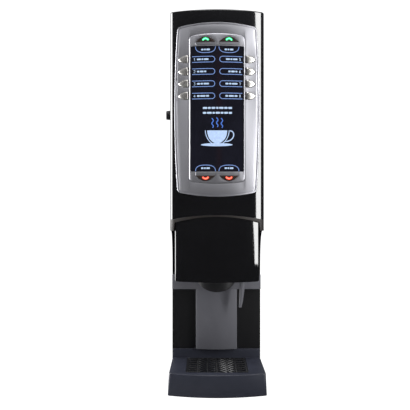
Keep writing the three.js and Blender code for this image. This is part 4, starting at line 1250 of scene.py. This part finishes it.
def tube(name, points, radius):
    """A round wire along a smooth line that five points steer."""
    start()
    bpy.ops.curve.primitive_nurbs_path_add()
    line = bpy.context.object
    for point, place in zip(line.data.splines[0].points, points):
        point.co = (*place, 1.0)
    line.data.bevel_depth = radius
    line.data.bevel_resolution = 2
    line.data.resolution_u = 8
    line.data.use_fill_caps = True
    bpy.ops.object.convert(target="MESH")
    return apply_place(bpy.context.object, name)


class DRINKS_OT_cabinet(bpy.types.Operator):
    """Sheet-metal cabinet with folded edges, and the brackets that carry the door"""

    bl_idname = "drinks.cabinet"
    bl_label = "Cabinet"

    def execute(self, context):
        refine_each("cabinet", "black_paint", 0.0005, "left_side_panel", "right_side_panel", "top_cover")
        refine_each("cabinet", "steel", 0.0003, "rear_panel", "base_pan", "canister_shelf",
                    "hinge_bracket_upper", "hinge_bracket_lower")
        return {"FINISHED"}


class DRINKS_OT_rear_screws(bpy.types.Operator):
    """Cross-head screws along the edges of the rear panel"""

    bl_idname = "drinks.rear_screws"
    bl_label = "Rear Screws"

    def execute(self, context):
        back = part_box("rear_panel")[1][1]
        screw = rod("rear_screw", "y", back - 0.0003, back + 0.0016, (0.0, 0.0), 0.0036,
                    edge=0.0006, sides=20)
        slots = [block("slot", (-long, back + 0.0008, -tall), (long, back + 0.003, tall))
                 for long, tall in ((0.0022, 0.0004), (0.0004, 0.0022))]
        cut(screw, *slots)
        places = [(side * 0.088, 0.02 + 0.1485 * row) for side in (-1, 1) for row in range(6)]
        screws = [copy_of(screw, f"rear_screw_{index}", (x, 0.0, z)) for index, (x, z) in enumerate(places)]
        bpy.data.objects.remove(screw)
        fit(paint(join("rear_screws", screws), finish_of("steel")), "cabinet", "steel")
        return {"FINISHED"}


class DRINKS_OT_feet(bpy.types.Operator):
    """Four rubber feet"""

    bl_idname = "drinks.feet"
    bl_label = "Feet"

    def execute(self, context):
        feet = [f"foot_{end}_{side}" for end in ("front", "rear") for side in ("left", "right")]
        refine_each("cabinet", "rubber", 0.0003, *feet)
        return {"FINISHED"}


class DRINKS_OT_supply_inlets(bpy.types.Operator):
    """Mains socket and threaded water inlet at the back"""

    bl_idname = "drinks.supply_inlets"
    bl_label = "Supply Inlets"

    def execute(self, context):
        refine_each("cabinet", "dark_plastic", 0.0004, "mains_inlet")
        refine_each("cabinet", "brass", 0.0003, "water_inlet")
        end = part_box("water_inlet")[1][1]
        threads = [rod("thread", "y", end - 0.0062 + 0.0014 * turn, end - 0.0055 + 0.0014 * turn,
                       (-0.060, 0.060), 0.0106, edge=0.0002) for turn in range(4)]
        bores = [rod("bore", "y", end - 0.02, end + 0.01, (-0.060, 0.060), 0.0098) for _ in threads]
        rings = [cut(thread, bore) for thread, bore in zip(threads, bores)]
        fit(paint(join("water_inlet_thread", rings), finish_of("brass")), "cabinet", "brass")
        return {"FINISHED"}


class DRINKS_OT_door_inside(bpy.types.Operator):
    """Painted liner behind the door's shell, with the display's circuit module"""

    bl_idname = "drinks.door_inside"
    bl_label = "Door Inside"

    def execute(self, context):
        refine_each("door", "black_paint", 0.0004, "door_liner")
        refine_each("door", "circuit_board", 0.0002, "display_module")
        return {"FINISHED"}


class DRINKS_OT_door_lock(bpy.types.Operator):
    """Cam lock in the door's left side: black collar, chromed barrel with its keyway"""

    bl_idname = "drinks.door_lock"
    bl_label = "Door Lock"

    def execute(self, context):
        refine_each("door", "dark_plastic", 0.0004, "lock_body")
        refine_each("lock", "chrome", 0.0002, "lock_cylinder")
        return {"FINISHED"}


class DRINKS_OT_powder_canisters(bpy.types.Operator):
    """Three cloudy powder canisters with loose lids, each over its own auger and gear motor"""

    bl_idname = "drinks.powder_canisters"
    bl_label = "Powder Canisters"

    def execute(self, context):
        for powder in ("coffee", "milk", "chocolate"):
            refine_each("cabinet", "canister_plastic", 0.0005, f"{powder}_canister")
            refine_each(f"{powder}_feed", "white_plastic", 0.0, f"{powder}_auger")
            self.lid(powder)
        refine_each("cabinet", "dark_plastic", 0.0004, "auger_drive_unit")
        return {"FINISHED"}

    @staticmethod
    def lid(powder):
        low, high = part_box(f"{powder}_canister")
        x, top = (low[0] + high[0]) / 2, high[2] + 0.0002
        middle = high[1] - 0.092
        lid = block(f"{powder}_lid", (x - 0.0235, middle - 0.080, top),
                    (x + 0.0235, middle + 0.080, top + 0.003), 0.0008)
        grip = block("grip", (x - 0.012, middle - 0.004, top + 0.002),
                     (x + 0.012, middle + 0.004, top + 0.011), 0.0015)
        fuse(lid, grip)
        fit(paint(lid, finish_of("white_plastic")), "cabinet", "white_plastic")


class DRINKS_OT_mixer(bpy.types.Operator):
    """Mixing bowl, whipper and its motor, and the nozzle that the drink leaves by"""

    bl_idname = "drinks.mixer"
    bl_label = "Mixer"

    def execute(self, context):
        refine_each("cabinet", "white_plastic", 0.0004, "mixing_bowl")
        refine_each("cabinet", "steel", 0.0004, "whipper_motor")
        refine_each("whipper", "white_plastic", 0.0003, "whipper_impeller")
        refine_each("cabinet", "dark_plastic", 0.0003, "drink_nozzle")
        return {"FINISHED"}


class DRINKS_OT_boiler(bpy.types.Operator):
    """Steel boiler with clamping bands, and the hoses to the mixer and the spout"""

    bl_idname = "drinks.boiler"
    bl_label = "Boiler"

    def execute(self, context):
        refine_each("cabinet", "steel", 0.0004, "boiler_tank")
        refine_each("cabinet", "hose", 0.0, "mixer_water_hose", "spout_hose")
        low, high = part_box("boiler_tank")
        centre = ((low[0] + high[0]) / 2, high[1] - (high[0] - low[0]) / 2)
        radius = (high[0] - low[0]) / 2
        bands = []
        for height in (0.295, 0.375):
            band = rod("band", "z", height, height + 0.009, centre, radius + 0.0007, edge=0.0002, sides=72)
            bands.append(cut(band, rod("bore", "z", height - 0.01, height + 0.02, centre, radius - 0.0012)))
            buckle = block("buckle", (centre[0] - 0.006, centre[1] - radius - 0.003, height - 0.001),
                           (centre[0] + 0.006, centre[1] - radius + 0.001, height + 0.010), 0.0006)
            bands.append(buckle)
        fit(paint(join("boiler_bands", bands), finish_of("chrome")), "cabinet", "steel")
        return {"FINISHED"}


class DRINKS_OT_electrics(bpy.types.Operator):
    """Control board with its relays, and the power supply"""

    bl_idname = "drinks.electrics"
    bl_label = "Electrics"

    def execute(self, context):
        refine_each("cabinet", "circuit_board", 0.0002, "control_board")
        refine_each("cabinet", "steel", 0.0004, "power_supply")
        relays = [block("relay", (0.0757, 0.0297, 0.2557 + 0.034 * row),
                        (0.0912, 0.0463, 0.2803 + 0.034 * row), 0.0008) for row in range(4)]
        sockets = [block("socket", (0.0837, 0.0597 + 0.024 * row, 0.2617),
                         (0.0912, 0.0783 + 0.024 * row, 0.3003), 0.0006) for row in range(4)]
        fit(paint(join("relays", relays), finish_of("dark_plastic")), "cabinet", "dark_plastic")
        fit(paint(join("board_sockets", sockets), finish_of("white_plastic")), "cabinet", "white_plastic")
        return {"FINISHED"}


class DRINKS_OT_wiring(bpy.types.Operator):
    """Wires from the board to the motors, heater and supply, with cable ties"""

    bl_idname = "drinks.wiring"
    bl_label = "Wiring"

    def execute(self, context):
        rise = ((0.0895, 0.150, 0.399), (0.088, 0.188, 0.44), (0.088, 0.190, 0.556))
        motors = [tube(f"feed_wire_{index}", (*rise, (x + 0.01, 0.195, 0.558), (x, 0.1775, 0.553)), 0.0011)
                  for index, x in enumerate((-0.062, 0.0, 0.062))]
        heater = tube("heater_wire", ((-0.012, 0.101, 0.459), (-0.012, 0.101, 0.485), (0.05, 0.101, 0.490),
                                      (0.089, 0.101, 0.45), (0.0915, 0.101, 0.399)), 0.0014)
        mixer = tube("mixer_wire", ((0.0915, 0.035, 0.399), (0.085, 0.02, 0.46), (0.045, 0.01, 0.49),
                                    (0.006, 0.005, 0.45), (0.004, -0.009, 0.414)), 0.0012)
        supply = tube("supply_wire", ((0.078, 0.06, 0.0755), (0.078, 0.06, 0.12), (0.086, 0.075, 0.16),
                                      (0.0915, 0.09, 0.20), (0.0915, 0.095, 0.241)), 0.0016)
        mains = tube("mains_wire", ((0.060, 0.193, 0.060), (0.060, 0.165, 0.060), (0.070, 0.14, 0.045),
                                    (0.055, 0.11, 0.045), (0.055, 0.0795, 0.045)), 0.0026)
        for wire in (*motors, heater, mixer, supply, mains):
            fit(paint(wire, finish_of("rubber")), "cabinet", "rubber")
        ties = [block("tie", (0.0855, 0.1855, height), (0.0905, 0.1925, height + 0.0025), 0.0006)
                for height in (0.49, 0.52)]
        fit(paint(join("cable_ties", ties), finish_of("white_plastic")), "cabinet", "white_plastic")
        return {"FINISHED"}


class DRINKS_OT_fan(bpy.types.Operator):
    """Cooling fan behind the louvres of the rear panel"""

    bl_idname = "drinks.fan"
    bl_label = "Fan"

    def execute(self, context):
        refine_each("cabinet", "dark_plastic", 0.0004, "fan_housing")
        refine_each("fan", "dark_plastic", 0.0003, "fan_rotor")
        return {"FINISHED"}


class DRINKS_OT_stage(bpy.types.Operator):
    """Unseen pale ground, backdrop, softboxes and camera; none of it belongs to the machine"""

    bl_idname = "drinks.stage"
    bl_label = "Stage"

    def execute(self, context):
        start()
        bpy.ops.mesh.primitive_plane_add(size=9.0)
        ground = paint(apply_place(bpy.context.object, "ground"), finish_of("studio_floor"))
        ground.visible_camera = False
        ground.visible_glossy = False
        lamps = [self.softbox("strip_right", (1.80, -1.22, 0.75), (0.40, 1.9), 31.0),
                 self.softbox("wall_left", (-1.75, 0.29, 0.65), (1.5, 1.7), 74.0),
                 self.softbox("top_fill", (0.1, -0.9, 2.3), (1.6, 1.1), 20.0)]
        bpy.ops.object.camera_add(location=(-0.025, -1.625, 0.423), rotation=(math.pi / 2, 0, 0))
        camera = bpy.context.object
        camera.data.lens = 61.46
        camera.data.shift_y = -0.0439
        camera.data.dof.use_dof = False
        bpy.context.scene.camera = camera
        bpy.context.scene.view_settings.view_transform = "Standard"
        self.surroundings()
        return {"FINISHED"}

    @staticmethod
    def softbox(name, place, size, power):
        start()
        aim = Vector((0.0, -0.1, 0.45)) - Vector(place)
        bpy.ops.object.light_add(type="AREA", location=place,
                                 rotation=aim.to_track_quat("-Z", "Y").to_euler())
        lamp = bpy.context.object
        lamp.name = name
        lamp.data.shape = "RECTANGLE"
        lamp.data.size, lamp.data.size_y = size
        lamp.data.energy = power
        return lamp

    @staticmethod
    def surroundings():
        """Camera rays meet a white backdrop; the machine meets a dim studio, lighter above."""
        world = bpy.data.worlds.new("studio")
        bpy.context.scene.world = world
        world.use_nodes = True
        tree = world.node_tree
        tree.nodes.clear()
        add, link = tree.nodes.new, tree.links.new
        place, split = add("ShaderNodeTexCoord"), add("ShaderNodeSeparateXYZ")
        ramp, rays = add("ShaderNodeValToRGB"), add("ShaderNodeLightPath")
        dim, white = add("ShaderNodeBackground"), add("ShaderNodeBackground")
        blend, out = add("ShaderNodeMixShader"), add("ShaderNodeOutputWorld")
        stops = ((0.0, 0.045), (0.5, 0.06), (0.62, 0.07), (1.0, 0.35))
        Finish.set_stops(ramp.color_ramp, [(at, (value, value, value * 1.05)) for at, value in stops])
        lift = add("ShaderNodeMapRange")
        lift.inputs["From Min"].default_value = -1.0
        white.inputs["Color"].default_value = (1, 1, 1, 1)
        white.inputs["Strength"].default_value = 1.2
        link(place.outputs["Generated"], split.inputs[0])
        link(split.outputs["Z"], lift.inputs["Value"])
        link(lift.outputs["Result"], ramp.inputs["Fac"])
        link(ramp.outputs["Color"], dim.inputs["Color"])
        link(rays.outputs["Is Camera Ray"], blend.inputs["Fac"])
        link(dim.outputs[0], blend.inputs[1])
        link(white.outputs[0], blend.inputs[2])
        link(blend.outputs[0], out.inputs["Surface"])


# ------------------------------------------------------------------ panel and start

OPERATORS = (
    DRINKS_OT_door_front, DRINKS_OT_arched_band, DRINKS_OT_hood_mask, DRINKS_OT_fascia,
    DRINKS_OT_display_surround, DRINKS_OT_display_glass, DRINKS_OT_display_graphics,
    DRINKS_OT_drink_keys, DRINKS_OT_end_keys, DRINKS_OT_drip_tray, DRINKS_OT_drip_grille,
    DRINKS_OT_cup_station, DRINKS_OT_nozzle_guard, DRINKS_OT_hot_water_spout, DRINKS_OT_cabinet,
    DRINKS_OT_rear_screws, DRINKS_OT_feet, DRINKS_OT_supply_inlets, DRINKS_OT_door_inside,
    DRINKS_OT_door_lock, DRINKS_OT_powder_canisters, DRINKS_OT_mixer, DRINKS_OT_boiler,
    DRINKS_OT_electrics, DRINKS_OT_wiring, DRINKS_OT_fan, DRINKS_OT_stage,
)


class DRINKS_PT_panel(bpy.types.Panel):
    """Sizes and colours, then one button for each piece"""

    bl_label = "Drinks Machine"
    bl_space_type = "VIEW_3D"
    bl_region_type = "UI"
    bl_category = "Drinks Machine"

    def draw(self, context):
        for name in MachineSettings.__annotations__:
            self.layout.prop(context.scene.drinks_machine, name)
        for operator in OPERATORS:
            self.layout.operator(operator.bl_idname)


def register():
    for kind in (MachineSettings, *OPERATORS, DRINKS_PT_panel):
        bpy.utils.register_class(kind)
    bpy.types.Scene.drinks_machine = bpy.props.PointerProperty(type=MachineSettings)


def unregister():
    del bpy.types.Scene.drinks_machine
    for kind in (DRINKS_PT_panel, *reversed(OPERATORS), MachineSettings):
        bpy.utils.unregister_class(kind)


def main():
    register()
    for operator in OPERATORS:
        group, name = operator.bl_idname.split(".")
        getattr(getattr(bpy.ops, group), name)()


if __name__ == "__main__":
    main()
